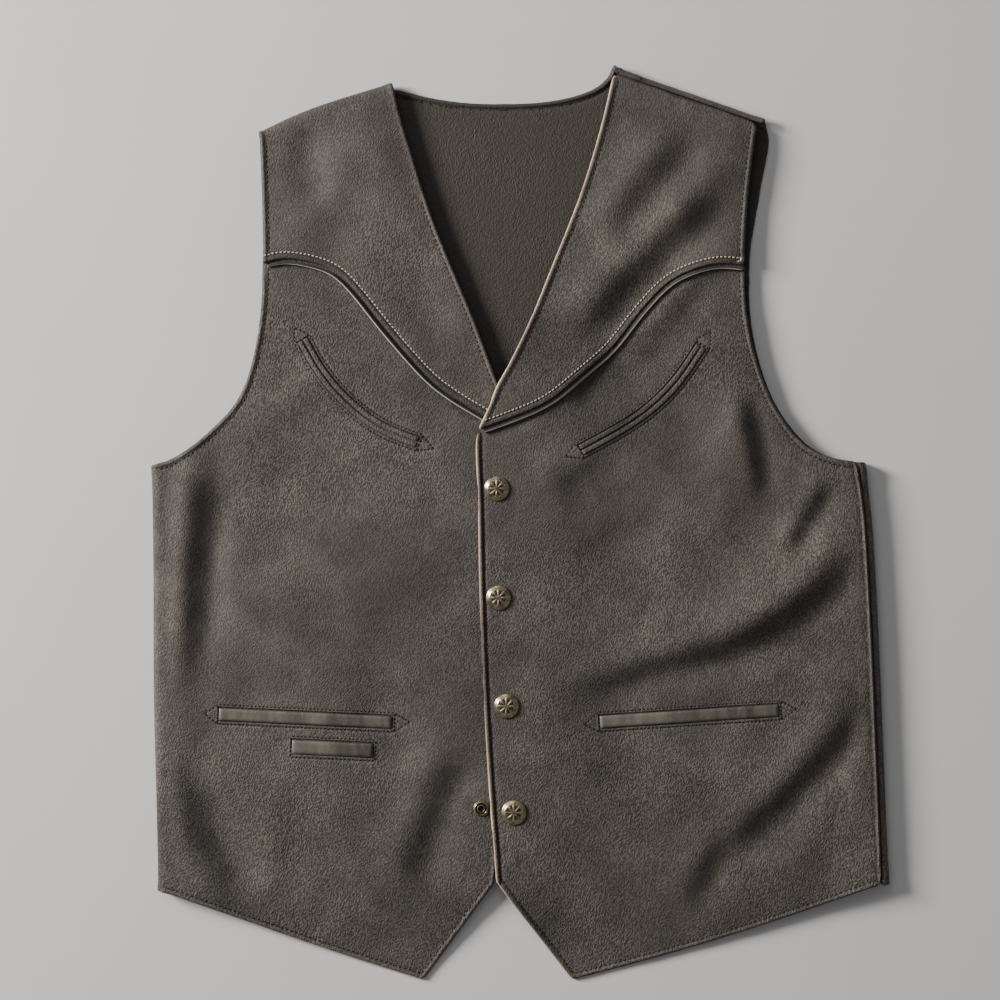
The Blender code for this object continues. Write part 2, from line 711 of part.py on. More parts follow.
def make_right(seam):
    """The right front with its yoke, piping and pockets; down is to the right of its seam."""
    whole = right_outline()
    yoke_edge = beside(seam, -YOKE_EDGE)
    piping = beside(seam, -PIPING_PLACE)
    pocket = chest_line(CHEST_RIGHT)
    lower, small = straight(WELT_RIGHT), straight(WELT_SMALL)
    lip = LIP_PLACE + LIP_WIDTH / 2
    extra = side_fold(fold_right, -wrap_reach) + rails(seam, -YOKE_EDGE, -PIPING_PLACE - PIPING_RADIUS)
    extra += rails(pocket, -lip, 0, lip)
    extra += rails(lower, -WELT_WIDTH / 2, WELT_WIDTH / 2) + rails(small, -SMALL_WIDTH / 2, SMALL_WIDTH / 2)
    front = quiet(cut(whole, beside(seam, FRONT_LAP), above=False), seam, QUIET_RIM)
    wall("front_right", front, front_base, no_lift, PANEL_STEP, extra)
    extra = rails(seam, FRONT_LAP) + shoulder_fold(shoulder_right, -196 * MM, -94 * MM)
    wall("yoke_right", cut(whole, yoke_edge, above=True), front_base, yoke_lift, PANEL_STEP, extra)
    make_piping("piping_right", piping, front, no_lift)
    make_chest_pocket("right", pocket, no_lift)
    strip("welt_right", lower, welt_section(WELT_WIDTH), front_base, no_lift, WELT)
    strip("welt_small", small, welt_section(SMALL_WIDTH), front_base, no_lift, WELT)


def make_left(seam):
    """The left front, which lies over the right one along the snaps."""
    whole = left_outline()
    pocket = chest_line(CHEST_LEFT)
    lower = straight(WELT_LEFT)
    lip = LIP_PLACE + LIP_WIDTH / 2
    extra = rails(seam, YOKE_EDGE, PIPING_PLACE + PIPING_RADIUS)
    extra += rails(pocket, -lip, 0, lip) + rails(lower, -WELT_WIDTH / 2, WELT_WIDTH / 2)
    front = quiet(cut(whole, beside(seam, -FRONT_LAP), above=False), seam, QUIET_RIM)
    wall("front_left", front, front_base, placket_lift, PANEL_STEP, extra)
    yoke = cut(whole, beside(seam, YOKE_EDGE), above=True)
    wall("yoke_left", yoke, front_base, placket_yoke_lift, PANEL_STEP, rails(seam, -FRONT_LAP))
    make_piping("piping_left", beside(seam, PIPING_PLACE), front, placket_lift)
    make_chest_pocket("left", pocket, placket_lift)
    strip("welt_left", lower, welt_section(WELT_WIDTH), front_base, placket_lift, WELT)


def make_piping(name, line, front, lift):
    """The bead of piping, from one edge of the front to the other."""
    points = [point for point, _ in front]
    inner = [point for point in line if inside(points, point)]
    strip(name, inner, rod_section(PIPING_RADIUS), front_base, lift, WELT)


def make_chest_pocket(side, line, lift):
    above = LIP_PLACE if side == "right" else -LIP_PLACE
    for name, middle in (("upper", above), ("lower", -above)):
        strip(f"chest_{name}_{side}", line, lip_section(middle), front_base, lift, LEATHER, LIP_TAPER)


def make_snaps():
    for number, (cap_x, cap_y, stud_x, stud_y) in enumerate(SNAPS, 1):
        cap = Vector((cap_x - MIDDLE_X, cap_y)) * MM
        stud = Vector((stud_x - MIDDLE_X, stud_y)) * MM
        over = placket_lift(*cap) + WALL + CAP_CLEARANCE
        turned_piece(f"snap_cap_{number}", cap, front_base, over, CAP_PROFILE, CAP_CROWN, METAL, 24)
        under = placket_lift(*cap) - SEAM_GAP - SOCKET_RING[-1][1] * MM
        turned_piece(f"snap_socket_{number}", cap, front_base, under, SOCKET_RING, None, METAL, 16)
        base = WALL + SEAM_GAP
        turned_piece(f"snap_stud_{number}", stud, front_base, base, STUD_PROFILE, STUD_CROWN, METAL, 16)


make_right(curve(YOKE_SEAM_RIGHT))
make_left(list(curve(YOKE_SEAM_LEFT)))
wall(
    "back", back_outline(), back_base, no_lift, BACK_STEP,
    side_fold(lambda y: fold_left(y) + SEAM_GAP, wrap_reach)
    + shoulder_fold(lambda x: shoulder_left(x) + SEAM_GAP, 73 * MM, 186 * MM),
    outward=-1,
)
make_snaps()
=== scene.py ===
import math

import bpy
import numpy as np
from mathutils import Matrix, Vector, noise
from mathutils.bvhtree import BVHTree


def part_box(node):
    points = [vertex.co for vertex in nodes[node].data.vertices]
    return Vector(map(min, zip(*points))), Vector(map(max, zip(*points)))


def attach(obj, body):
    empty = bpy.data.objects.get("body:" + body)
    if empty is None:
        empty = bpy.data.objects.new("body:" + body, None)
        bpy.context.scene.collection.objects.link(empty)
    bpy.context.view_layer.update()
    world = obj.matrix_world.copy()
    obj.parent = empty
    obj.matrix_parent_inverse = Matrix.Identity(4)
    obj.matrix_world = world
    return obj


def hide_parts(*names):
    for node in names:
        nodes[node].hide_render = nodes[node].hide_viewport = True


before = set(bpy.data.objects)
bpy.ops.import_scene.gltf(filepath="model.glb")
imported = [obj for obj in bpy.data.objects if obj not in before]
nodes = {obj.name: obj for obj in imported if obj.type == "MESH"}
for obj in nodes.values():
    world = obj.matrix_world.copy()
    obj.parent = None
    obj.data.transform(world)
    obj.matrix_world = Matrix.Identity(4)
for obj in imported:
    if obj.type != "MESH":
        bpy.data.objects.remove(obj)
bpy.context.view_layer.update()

mm = 0.001
print("frame loaded:", len(nodes), "nodes")


# Camera, light and floor

view = {
    "centre": (-15.0, 17.9),  # mm, what lies in the middle of the picture
    "across": 760,            # mm that the picture is wide at the vest
    "top": 10,                # mm, height of the leather that this is true for
    "distance": 2000,
    "sensor": 36,             # mm
}


def makeCamera():
    x, y = view["centre"]
    place = Vector((x, y, view["top"] + view["distance"])) * mm
    bpy.ops.object.camera_add(location=place, rotation=(0, 0, 0))
    camera = bpy.context.object
    camera.data.sensor_width = view["sensor"]
    camera.data.lens = view["sensor"] * view["distance"] / view["across"]
    bpy.context.scene.camera = camera


lights = {  # m and watts
    "window": {
        "from": (-2.60, 1.00, 1.22), "size": 0.9, "power": 172, "colour": (1.0, 0.97, 0.93),
    },
    "fill": {
        "from": (-0.5, 1.3, 1.6), "size": 1.2, "power": 5, "colour": (0.96, 0.97, 1.0),
    },
    "sky": {"strength": 0.17, "colour": (0.96, 0.97, 1.0)},
}


def makeLights():
    for name in ("window", "fill"):
        look = lights[name]
        place = Vector(look["from"])
        turn = place.to_track_quat("Z", "Y").to_euler()
        bpy.ops.object.light_add(type="AREA", location=place, rotation=turn)
        light = bpy.context.object
        light.name = name
        light.data.size = look["size"]
        light.data.energy = look["power"]
        light.data.color = look["colour"]
    world = bpy.data.worlds.new("studio")
    world.use_nodes = True
    background = world.node_tree.nodes["Background"]
    background.inputs["Color"].default_value = (*lights["sky"]["colour"], 1)
    background.inputs["Strength"].default_value = lights["sky"]["strength"]
    bpy.context.scene.world = world


# Materials: node maths as Python expressions

class Socket:
    # an output of a node; sums and products of it add Math nodes
    def __init__(self, finish, output):
        self.finish = finish
        self.output = output

    def maths(self, operation, first, second):
        return self.finish.node("Math", {"operation": operation}, {0: first, 1: second})

    def __add__(self, other):
        return self.maths("ADD", self, other)

    def __radd__(self, other):
        return self.maths("ADD", other, self)

    def __sub__(self, other):
        return self.maths("SUBTRACT", self, other)

    def __rsub__(self, other):
        return self.maths("SUBTRACT", other, self)

    def __mul__(self, other):
        return self.maths("MULTIPLY", self, other)

    def __rmul__(self, other):
        return self.maths("MULTIPLY", other, self)


class Finish:
    # a material and its shader
    def __init__(self, name):
        self.material = bpy.data.materials.new(name)
        self.material.use_nodes = True
        self.tree = self.material.node_tree
        self.shader = self.tree.nodes["Principled BSDF"]

    def node(self, kind, settings=None, sockets=None, out=0):
        made = self.tree.nodes.new("ShaderNode" + kind)
        for name, value in (settings or {}).items():
            setattr(made, name, value)
        for name, value in (sockets or {}).items():
            self.feed(made.inputs[name], value)
        return Socket(self, made.outputs[out])

    def feed(self, socket, value):
        if isinstance(value, Socket):
            self.tree.links.new(value.output, socket)
        elif socket.type == "RGBA":
            socket.default_value = (*value, 1)
        else:
            socket.default_value = value

    def set(self, **inputs):
        for name, value in inputs.items():
            self.feed(self.shader.inputs[name.replace("_", " ")], value)

    def place(self):
        # object coordinates, in metres
        return self.node("TexCoord", out=3)

    def stretched(self, place, turn, length):
        # a pattern made longer in the direction of turn, in degrees
        sockets = {"Vector": place, "Rotation": (0, 0, math.radians(turn)), "Scale": (length, 1, 1)}
        return self.node("Mapping", {"vector_type": "TEXTURE"}, sockets)

    def noise(self, place, scale, detail, roughness=0.5, distortion=0.0):
        sockets = {"Vector": place, "Scale": scale, "Detail": detail}
        sockets.update({"Roughness": roughness, "Distortion": distortion})
        return self.node("TexNoise", {}, sockets)

    def cells(self, place, scale):
        return self.node("TexVoronoi", {}, {"Vector": place, "Scale": scale})

    def painted(self, name):
        # what paint() has put on the mesh under this name
        return self.node("Attribute", {"attribute_name": name}, out=2)

    def between(self, value, low, high):
        # 0 below low, 1 above high, with a soft run in between
        sockets = {"Value": value, "From Min": low, "From Max": high}
        return self.node("MapRange", {"interpolation_type": "SMOOTHSTEP"}, sockets)

    def mixed(self, first, second, share):
        return self.node("Mix", {"data_type": "RGBA"}, {0: share, 6: first, 7: second}, out=2)

    def darkened(self, colour, share):
        sockets = {0: 1.0, 6: colour, 7: share}
        return self.node("Mix", {"data_type": "RGBA", "blend_type": "MULTIPLY"}, sockets, out=2)

    def bump(self, height, depth, strength, after=None):
        sockets = {"Height": height, "Distance": depth, "Strength": strength}
        if after:
            sockets["Normal"] = after
        return self.node("Bump", {}, sockets)


panelLeather = {
    "dark": (0.056, 0.048, 0.042),
    "middle": (0.086, 0.074, 0.064),
    "light": (0.128, 0.110, 0.095),
    "pressed": (0.016, 0.013, 0.011),  # painted shade in seams, pressed lines and the gaps round pockets
    "patch": 15,         # patches to a metre
    "grain": 1020,       # wrinkles to a metre, across them
    "length": 1.6,       # how much longer than wide they are
    "slants": (50, 78),  # degrees, the two ways that they run
    "depth": 0.38 * mm,
    "roughness": 0.55,
    # colour factors over the grain, where it is fine and where it is coarse: darker in the valleys,
    # partly the grain's own tone and partly painted shade, and lighter on the peaks, painted highlight
    "valley": ((0.68, 0.68, 0.69), (0.52, 0.52, 0.53)),
    "peak": ((1.22, 1.21, 1.19), (1.42, 1.40, 1.36)),
    "hem": (-0.27, -0.12),  # m: from the deep, coarse grain near the hem to the fine one
}
flesh = {"light": (0.115, 0.083, 0.058), "dark": (0.062, 0.044, 0.031), "fibre": 900}
cutEdge = {"raw": (0.88, 0.69, 0.37), "dyed": (0.050, 0.041, 0.033)}


def leatherGrain(finish, place, look):
    # wrinkles that run one way or the other from place to place, with pebbles between them
    slanted, steep = (finish.stretched(place, turn, look["length"]) for turn in look["slants"])
    first = finish.noise(slanted, look["grain"], 1.0, 0.4, 0.5)
    second = finish.noise(steep, look["grain"] * 0.9, 1.0, 0.4, 0.5)
    where = finish.between(finish.noise(place, 14, 1.0), 0.42, 0.58)
    wrinkles = finish.between(first * (1 - where) + second * where, 0.32, 0.68)
    pebbles = finish.cells(finish.stretched(place, 60, 1.3), look["grain"])
    return wrinkles * 0.75 + (1 - pebbles) * 0.3


def makePanelLeather():
    finish = Finish("pebbled leather")
    look = panelLeather
    place = finish.place()
    patches = finish.noise(place, look["patch"], 4.0, 0.55, 0.6)
    blotches = finish.noise(place, look["patch"] * 4, 3.0, 0.6, 0.3)
    tone = finish.between(patches * 0.8 + blotches * 0.2, 0.34, 0.68)
    grain = leatherGrain(finish, place, look)
    rub_and_highlight = finish.painted("rub_and_highlight")
    wall = finish.painted("wall")
    inside = finish.between(wall, 0.6, 0.9)
    edge = finish.between(wall, 0.2, 0.4) * (1 - inside)

    # the good side: soft patches, edges lighter by rubbing and by painted highlight, painted shade in
    # the pressed lines
    colour = finish.mixed(look["dark"], look["middle"], finish.between(tone, -0.25, 0.55))
    colour = finish.mixed(colour, look["light"], finish.between(tone, 0.45, 1.25))
    # lighter on edges, rolls and ridges: partly rubbed, partly painted highlight
    colour = finish.mixed(colour, look["light"], rub_and_highlight * (0.25 + tone * 0.4))
    high = finish.between(grain, 0.15, 0.95)
    along = finish.node("SeparateXYZ", {}, {0: place}, out=1)
    hem = 1 - finish.between(along, *look["hem"])
    coarse = finish.between(finish.noise(place, 6, 2.0) + hem * 0.16, 0.40, 0.60)
    valley, peak = (finish.mixed(*look[kind], coarse) for kind in ("valley", "peak"))
    # grain colour: partly its own tone, partly painted shade in the valleys and painted highlight on
    # the peaks
    colour = finish.darkened(colour, finish.mixed(valley, peak, high))
    # painted shade in the panels' seams, pressed lines and pocket gaps
    colour = finish.mixed(colour, look["pressed"], finish.painted("painted_shade"))

    # the suede of the inside, and the cut edge
    fibres = finish.noise(place, flesh["fibre"], 4.0, 0.7)
    nap = finish.between(fibres * 0.6 + patches * 0.4, 0.35, 0.65)
    colour = finish.mixed(colour, finish.mixed(flesh["dark"], flesh["light"], nap), inside)
    bare = finish.painted("raw") * (0.25 + tone * 0.45 + fibres * 0.5)
    colour = finish.mixed(colour, finish.mixed(cutEdge["dyed"], cutEdge["raw"], bare), edge)

    creasing = finish.noise(finish.stretched(place, 40, 1.8), 90, 3.0, 0.55, 1.2)
    normal = finish.bump(creasing, 0.8 * mm, 0.35)
    depth = 0.85 + coarse * 0.4 + hem * 0.65 - inside * 0.7 - rub_and_highlight * 0.4
    normal = finish.bump(grain * depth, look["depth"], 0.9, normal)
    finish.set(Base_Color=colour, Normal=normal, Specular_IOR_Level=0.38)
    finish.set(Roughness=look["roughness"] + (1 - high) * 0.16 - rub_and_highlight * 0.12 + inside * 0.2)
    finish.set(Sheen_Weight=0.06, Sheen_Roughness=0.5)
    return finish.material


welts = {
    "dark": (0.046, 0.042, 0.033),
    "light": (0.175, 0.161, 0.130),
    # painted shade along the strips' edges and over the piping
    "pressed": (0.02, 0.018, 0.015),
    "glint": (0.74, 0.70, 0.60),  # painted highlight line along the piping
    "roughness": 0.36,
}


def makeWeltLeather():
    finish = Finish("smooth welt leather")
    place = finish.place()
    cloud = finish.noise(finish.stretched(place, 90, 3), 80, 3.0, 0.6)
    fine = finish.noise(place, 700, 3.0, 0.6)
    tone = finish.between(cloud * 0.75 + fine * 0.25, 0.35, 0.68)
    # lighter where painted: a painted highlight at the welts' left ends, an even lighter tone on the
    # lips
    light = tone * 0.7 + finish.painted("rub_and_highlight") * 0.5
    colour = finish.mixed(welts["dark"], welts["light"], light)
    # painted shade, then the painted highlight line of the piping
    colour = finish.mixed(colour, welts["pressed"], finish.painted("painted_shade") * 0.85)
    colour = finish.mixed(colour, welts["glint"], finish.painted("glint"))
    normal = finish.bump(fine, 0.1 * mm, 0.5, finish.bump(cloud, 0.6 * mm, 0.3))
    finish.set(Base_Color=colour, Normal=normal, Specular_IOR_Level=0.45)
    finish.set(Roughness=welts["roughness"] + fine * 0.14)
    return finish.material


threads = {
    "ivory": {"light": (0.78, 0.70, 0.52), "dark": (0.50, 0.42, 0.28)},
    "dark": {"light": (0.016, 0.014, 0.012), "dark": (0.004, 0.004, 0.003)},
}


def makeThread(name):
    finish = Finish(name + " thread")
    look = threads[name]
    place = finish.place()
    plies = finish.noise(finish.stretched(place, 45, 3), 2600, 2.0)
    share = finish.between(plies, 0.35, 0.65)
    finish.set(Base_Color=finish.mixed(look["dark"], look["light"], share))
    finish.set(Normal=finish.bump(plies, 0.12 * mm, 0.7), Roughness=0.62)
    return finish.material


snapMetal = {
    "bright": (0.66, 0.55, 0.35),
    "aged": (0.24, 0.18, 0.10),
    "patina": (0.010, 0.008, 0.006),
    "roughness": 0.15,
}


def makeSnapMetal():
    finish = Finish("aged brass")
    place = finish.place()
    cloud = finish.noise(place, 260, 4.0, 0.65, 0.4)
    scratches = finish.noise(finish.stretched(place, 30, 8), 2400, 2.0)
    patina_and_shade = finish.painted("patina_and_shade")
    brightAt = finish.between(cloud, 0.30, 0.62)
    colour = finish.mixed(snapMetal["aged"], snapMetal["bright"], brightAt)
    # darker where painted: patina in the rosette's cuts, a darker hollow in the stud, and painted
    # shade round the cap's rim and at the foot of the stud's ring
    patina_and_shade_share = patina_and_shade * (0.92 + cloud * 0.2)
    colour = finish.mixed(colour, snapMetal["patina"], patina_and_shade_share)
    finish.set(Base_Color=colour, Metallic=1 - patina_and_shade_share * 0.7)
    finish.set(Roughness=snapMetal["roughness"] + cloud * 0.14 + patina_and_shade * 0.25)
    finish.set(Normal=finish.bump(scratches + cloud, 0.03 * mm, 0.5))
    return finish.material


floorLook = {"dark": (0.74, 0.73, 0.71), "light": (0.80, 0.79, 0.77), "size": 8, "below": 0.4 * mm}


def makeFloor():
    finish = Finish("pale floor")
    cloud = finish.noise(finish.place(), 6, 3.0)
    finish.set(Base_Color=finish.mixed(floorLook["dark"], floorLook["light"], cloud), Roughness=0.75)
    bpy.ops.mesh.primitive_plane_add(size=floorLook["size"], location=(0, 0, -floorLook["below"]))
    plane = bpy.context.object
    plane.name = "floor"
    bpy.ops.object.transform_apply(location=True)
    plane.data.materials.append(finish.material)


# Mesh helpers

def pick(piece):
    if bpy.context.mode != "OBJECT":
        bpy.ops.object.mode_set(mode="OBJECT")
    bpy.ops.object.select_all(action="DESELECT")
    piece.select_set(True)
    bpy.context.view_layer.objects.active = piece


def pointsOf(piece, kind="co"):
    found = np.empty(len(piece.data.vertices) * 3)
    piece.data.vertices.foreach_get(kind, found)
    return found.reshape(-1, 3)


def movePoints(piece, points):
    piece.data.vertices.foreach_set("co", points.ravel())
    piece.data.update()


def paint(piece, name, values):
    layer = piece.data.attributes.new(name, "FLOAT", "POINT")
    layer.data.foreach_set("value", np.asarray(values, dtype=np.float32))


def meshPiece(name, points, faces, material):
    mesh = bpy.data.meshes.new(name)
    mesh.from_pydata(points, [], faces)
    mesh.materials.append(material)
    piece = bpy.data.objects.new(name, mesh)
    bpy.context.scene.collection.objects.link(piece)
    mesh.shade_smooth()
    return piece


def ease(values):
    values = np.clip(values, 0, 1)
    return values * values * (3 - 2 * values)


def nearLine(points, line):
    # for each point, the distance to a polyline and how far along it that is, from 0 to 1
    line = np.asarray(line, dtype=float)
    gaps = np.full(len(points), 9.0)
    along = np.zeros(len(points))
    runs = np.diff(line, axis=0)
    lengths = np.linalg.norm(runs, axis=1)
    passed = 0.0
    for start, run, length in zip(line, runs, lengths):
        share = np.clip((points - start) @ run / length**2, 0, 1)
        gap = np.linalg.norm(points - start - share[:, None] * run, axis=1)
        closer = gap < gaps
        gaps[closer] = gap[closer]
        along[closer] = (passed + share[closer] * length) / lengths.sum()
        passed += length
    return gaps, along


def besideLine(points, line):
    # the same, with the distance below 0 on the right of the line
    gaps, along = nearLine(points, line)
    line = np.asarray(line, dtype=float)
    middles = (line[:-1] + line[1:]) / 2
    runs = np.diff(line, axis=0)
    nearest = ((points[:, None] - middles[None]) ** 2).sum(axis=2).argmin(axis=1)
    away = points - middles[nearest]
    left = runs[nearest, 0] * away[:, 1] - runs[nearest, 1] * away[:, 0]
    return np.where(left < 0, -gaps, gaps), along


def evenly(line, pitch):
    # points at an even pitch along a polyline
    line = np.asarray(line, dtype=float)
    lengths = np.linalg.norm(np.diff(line, axis=0), axis=1)
    passed = np.concatenate([[0], np.cumsum(lengths)])
    count = max(2, round(passed[-1] / pitch) + 1)
    places = np.linspace(0, passed[-1], count)
    return np.stack([np.interp(places, passed, line[:, k]) for k in range(line.shape[1])], axis=1)


def curved(points, pitch):
    # a smooth line in metres through points in mm, at an even pitch in mm
    points = np.array(points, dtype=float) * mm
    padded = np.vstack([2 * points[0] - points[1], points, 2 * points[-1] - points[-2]])
    t = np.linspace(0, 1, 12, endpoint=False)[:, None]
    fine = []
    for a, b, c, d in zip(padded, padded[1:], padded[2:], padded[3:]):
        bend = (2 * a - 5 * b + 4 * c - d) * t**2 + (3 * b - 3 * c + d - a) * t**3
        fine.append((2 * b + (c - a) * t + bend) / 2)
    return evenly(np.vstack([*fine, points[-1:]]), pitch * mm)


def beside(line, distance):
    # the line moved to its left
    line = np.asarray(line, dtype=float)
    runs = np.gradient(line, axis=0)
    runs /= np.linalg.norm(runs, axis=1)[:, None]
    return line + np.stack([-runs[:, 1], runs[:, 0]], axis=1) * distance


def rimOf(piece):
    # the closed outline of a piece as seen from above, anticlockwise
    mesh = piece.data
    facesOf = {}
    for face in mesh.polygons:
        for key in face.edge_keys:
            facesOf.setdefault(key, []).append(face.normal.z > 0.02)
    links = {}
    for (a, b), sides in facesOf.items():
        if len(sides) == 2 and sides[0] != sides[1]:
            links.setdefault(a, []).append(b)
            links.setdefault(b, []).append(a)
    best = []
    left = set(links)
    while left:
        start = left.pop()
        chain = [start]
        while True:
            ways = [k for k in links[chain[-1]] if k in left]
            if not ways:
                break
            left.discard(ways[0])
            chain.append(ways[0])
        if len(chain) > len(best):
            best = chain
    loop = np.array([mesh.vertices[k].co.xy[:] for k in best])
    after = np.roll(loop, -1, axis=0)
    area = (loop[:, 0] * after[:, 1] - after[:, 0] * loop[:, 1]).sum()
    return loop if area > 0 else loop[::-1]


def stretch(loop, start, end):
    # the anticlockwise run of an outline between the points nearest two places in mm
    first = np.linalg.norm(loop - np.array(start) * mm, axis=1).argmin()
    last = np.linalg.norm(loop - np.array(end) * mm, axis=1).argmin()
    run = np.roll(loop, -first, axis=0)
    return run[: (last - first) % len(loop) + 1]


# Folds that the leather has taken, besides the large ones of the solids

creases = (  # points in mm, spread and height in mm: the leather steps down from left to right
    (((14, -137), (61, -121), (99, -110), (137, -100), (167, -89), (208, -66), (234, -42),
      (256, -8)), 11, 3.4),
    (((118, -104), (167, -95), (208, -74), (236, -46), (259, -12)), 17, 3.0),
    (((150, -268), (178, -228), (205, -203), (240, -165), (263, -120)), 12, 3.4),
    (((186, 10), (178, 58), (168, 110)), 8, 2.5),
    (((202, -30), (213, -5), (222, 10), (238, 38)), 8, 2.7),
    (((122, -300), (142, -262), (152, -226)), 10, 1.7),
    (((30, -28), (72, -8), (112, 4)), 12, 1.2),
    (((-252, -150), (-250, -70), (-244, 0), (-236, 76)), 13, 3.3),
    (((-206, -296), (-242, -238), (-266, -176)), 14, 3.6),
    (((-90, -286), (-68, -220), (-42, -160)), 14, 2.9),
    (((-190, -268), (-176, -226), (-172, -190)), 12, 1.3),
    (((-128, -160), (-110, -96), (-102, -42)), 15, 1.3),
    (((-56, 122), (-96, 182), (-120, 236)), 13, 1.5),
    (((36, 128), (80, 182), (118, 222), (166, 264)), 14, 4.4),
    (((60, 200), (96, 256), (136, 306)), 14, 4.0),
    (((50, 96), (98, 138), (136, 182), (172, 214)), 11, 1.9),
    (((34, 86), (56, 118), (66, 148)), 9, 1.2),
    (((20, 20), (52, 46), (90, 58)), 11, 1.2),
)
ridges = (  # points in mm, half width and height in mm: below 0 is a trough
    (((-230, 40), (-236, -40), (-230, -108)), 15, -2.3),
    (((-236, -196), (-214, -246), (-192, -278)), 15, -1.9),
    (((-157, 312), (-161, 276), (-153, 232)), 15, -3.2),
    (((-190, -20), (-172, -80), (-148, -140)), 17, 2.2),
    (((-120, 256), (-100, 214), (-80, 170)), 15, 1.8),
    (((-96, 42), (-84, -8), (-92, -62)), 17, 1.5),
    (((106, -172), (120, -233), (132, -282)), 26, 3.0),
    (((160, 102), (157, 50), (162, -4)), 18, 3.0),
    (((60, -48), (96, -76), (150, -78)), 15, 1.8),
    (((236, -190), (222, -236), (204, -274)), 14, 2.0),
    (((-140, -200), (-136, -240), (-120, -276)), 15, 1.4),
)


def foldHeight(points):
    # height in metres that the creases and ridges add at each x, y
    total = np.zeros(len(points))
    for rows, step in ((creases, True), (ridges, False)):
        for line, width, height in rows:
            side, along = besideLine(points, curved(line, 8))
            across = side / mm / width
            ends = ease(np.minimum(along, 1 - along) / 0.28)
            form = across * np.exp(0.5 - across**2 / 2) if step else np.exp(-(across**2))
            total += height * mm * ends * form
    return total


def swells(points, size, seed):
    # a soft unevenness, from -1 to 1 or so
    offset = Vector((seed * 7.3, seed * 3.1, 0))
    return np.array([noise.noise(Vector((x, y, 0)) / size + offset) for x, y in points])


# Pockets: the rows of stitches round each, and the lines that those press into the leather

pockets = {  # mm; edge and row: from the middle to the lips' or welt's edge, and to the stitches
    "chest_right": {
        "on": "front_right", "edge": 4.25, "row": 6.6, "ends": ((-171.9, 149.3), (-65.6, 56.9)),
        "line": ((-165.2, 139.5), (-153.2, 118.5), (-138.2, 99.5), (-118.2, 81.5), (-99.8, 70.5),
                 (-77.8, 61.8)),
    },
    "chest_left": {
        "on": "front_left", "edge": 4.25, "row": 6.6, "ends": ((145.3, 146.3), (34.0, 50.8)),
        "line": ((138.0, 135), (125.8, 116.5), (112.8, 100.5), (95.8, 85), (75.2, 71.5), (46.8, 55.8)),
    },
    "welt_right": {
        "on": "front_right", "edge": 4.9, "row": 7.2, "ends": ((-240.0, -144.6), (-83.5, -150.9)),
        "line": ((-228.7, -145), (-97.2, -151.3)),
    },
    "welt_left": {
        "on": "front_left", "edge": 4.9, "row": 7.2, "ends": ((48.5, -152.7), (210.4, -141.0)),
        "line": ((61.1, -150.9), (196.8, -142)),
    },
    "welt_small": {
        "on": "front_right", "edge": 5.5, "row": 7.8, "ends": (),
        "line": ((-173.2, -169.8), (-111.6, -172.6)),
    },
}
pocketRim = {  # mm
    "moat": 0.3, "moatDepth": 0.7, "moatWidth": 0.5,       # gap beside the lips or welt
    "ridge": 1.25, "ridgeHeight": 0.5, "ridgeWidth": 0.7,  # turned edge of the leather
    "rowDepth": 0.3, "rowWidth": 0.7,                      # pressed by the stitches
    "flank": 1.4,  # from the stitches to the lighter line beside them, partly rubbed and partly painted highlight
    "past": 1.2,   # how far the rows run past the ends
}


def longer(line, distance):
    # a line with straight runs added at both ends
    first = line[0] - line[1]
    last = line[-1] - line[-2]
    return np.vstack([line[0] + first / np.linalg.norm(first) * distance, line,
                      line[-1] + last / np.linalg.norm(last) * distance])


def outOf(flat, look):
    # how far each point lies from a pocket's middle, square round its ends, in mm
    reach = 30
    middle = curved(look["line"], 2)
    length = np.linalg.norm(np.diff(middle, axis=0), axis=1).sum() / mm
    gap, along = nearLine(flat, longer(middle, reach * mm))
    along = along * (length + 2 * reach)
    past = np.maximum(reach - along, along - reach - length)
    return np.maximum(gap / mm, look["edge"] + past)


def rowsRound(look):
    # both long rows, both end bars and the sides of the arrowheads, as lines in metres
    middle = longer(curved(look["line"], 2), pocketRim["past"] * mm)
    left, right = beside(middle, look["row"] * mm), beside(middle, -look["row"] * mm)
    rows = [left, right, np.array([left[0], right[0]]), np.array([left[-1], right[-1]])]
    for tip, k in zip(look["ends"], (0, -1)):
        tip = np.array(tip) * mm
        rows += [np.array([left[k], tip]), np.array([tip, right[k]])]
    return rows


# The panels: a fine shell on each solid, with folds, turned edges and grooves

panels = {  # runs of each outline between two places in mm, anticlockwise
    "front_right": {
        "rims": (((-270, -281), (-73.5, -348.5)), ((-73.5, -348.5), (-18.8, -273.2)),
                 ((-195.5, 197), (-275, 45.6))),
        "seams": (((-18.8, -273.2), (6, 68)),),
        "raw": (((-200, -307), (-73.5, -348.5)),),
        "cut": (0.31, 0.56), "area": 0.122, "lies": ["back"],
    },
    "front_left": {
        "rims": (((39.6, -348.5), (275, -274)), ((-18, -271.7), (39.6, -348.5)),
                 ((-31, 68), (-18, -271.7)), ((256.8, 47.2), (173, 197))),
        "seams": (), "side": ((275, -274), (257, 47)),
        "raw": (((-31, 68), (-18, -271.7)), ((-18, -271.7), (39.6, -348.5))),
        "cut": (0.31, 0.55), "area": 0.125, "lies": ["back", "front_right"],
    },
    "yoke_right": {
        "rims": (((5, 73), (-97, 347)), ((-198, 310), (-195.5, 200))),
        "seams": (((-195.5, 200), (5, 73)),),
        "raw": (), "cut": (0.21, 0.29), "area": 0.024, "lies": ["front_right"],
    },
    "yoke_left": {
        "rims": (((71.5, 342), (-31, 72)), ((172, 200), (180, 304))),
        "seams": (((-31, 72), (172, 200)),),
        "raw": (((71.5, 342), (-31, 72)),), "cut": (0.22, 0.28), "area": 0.025,
        "lies": ["front_left"],
    },
    "back": {
        "rims": (((71, 357), (-95, 331)), ((185, 319), (275, 46)), ((-273, 46), (-196, 293)),
                 ((-268, -281), (292, -274))),
        "seams": (), "raw": (), "cut": (0.57, 0.66), "area": 0.29, "lies": [],
    },
}
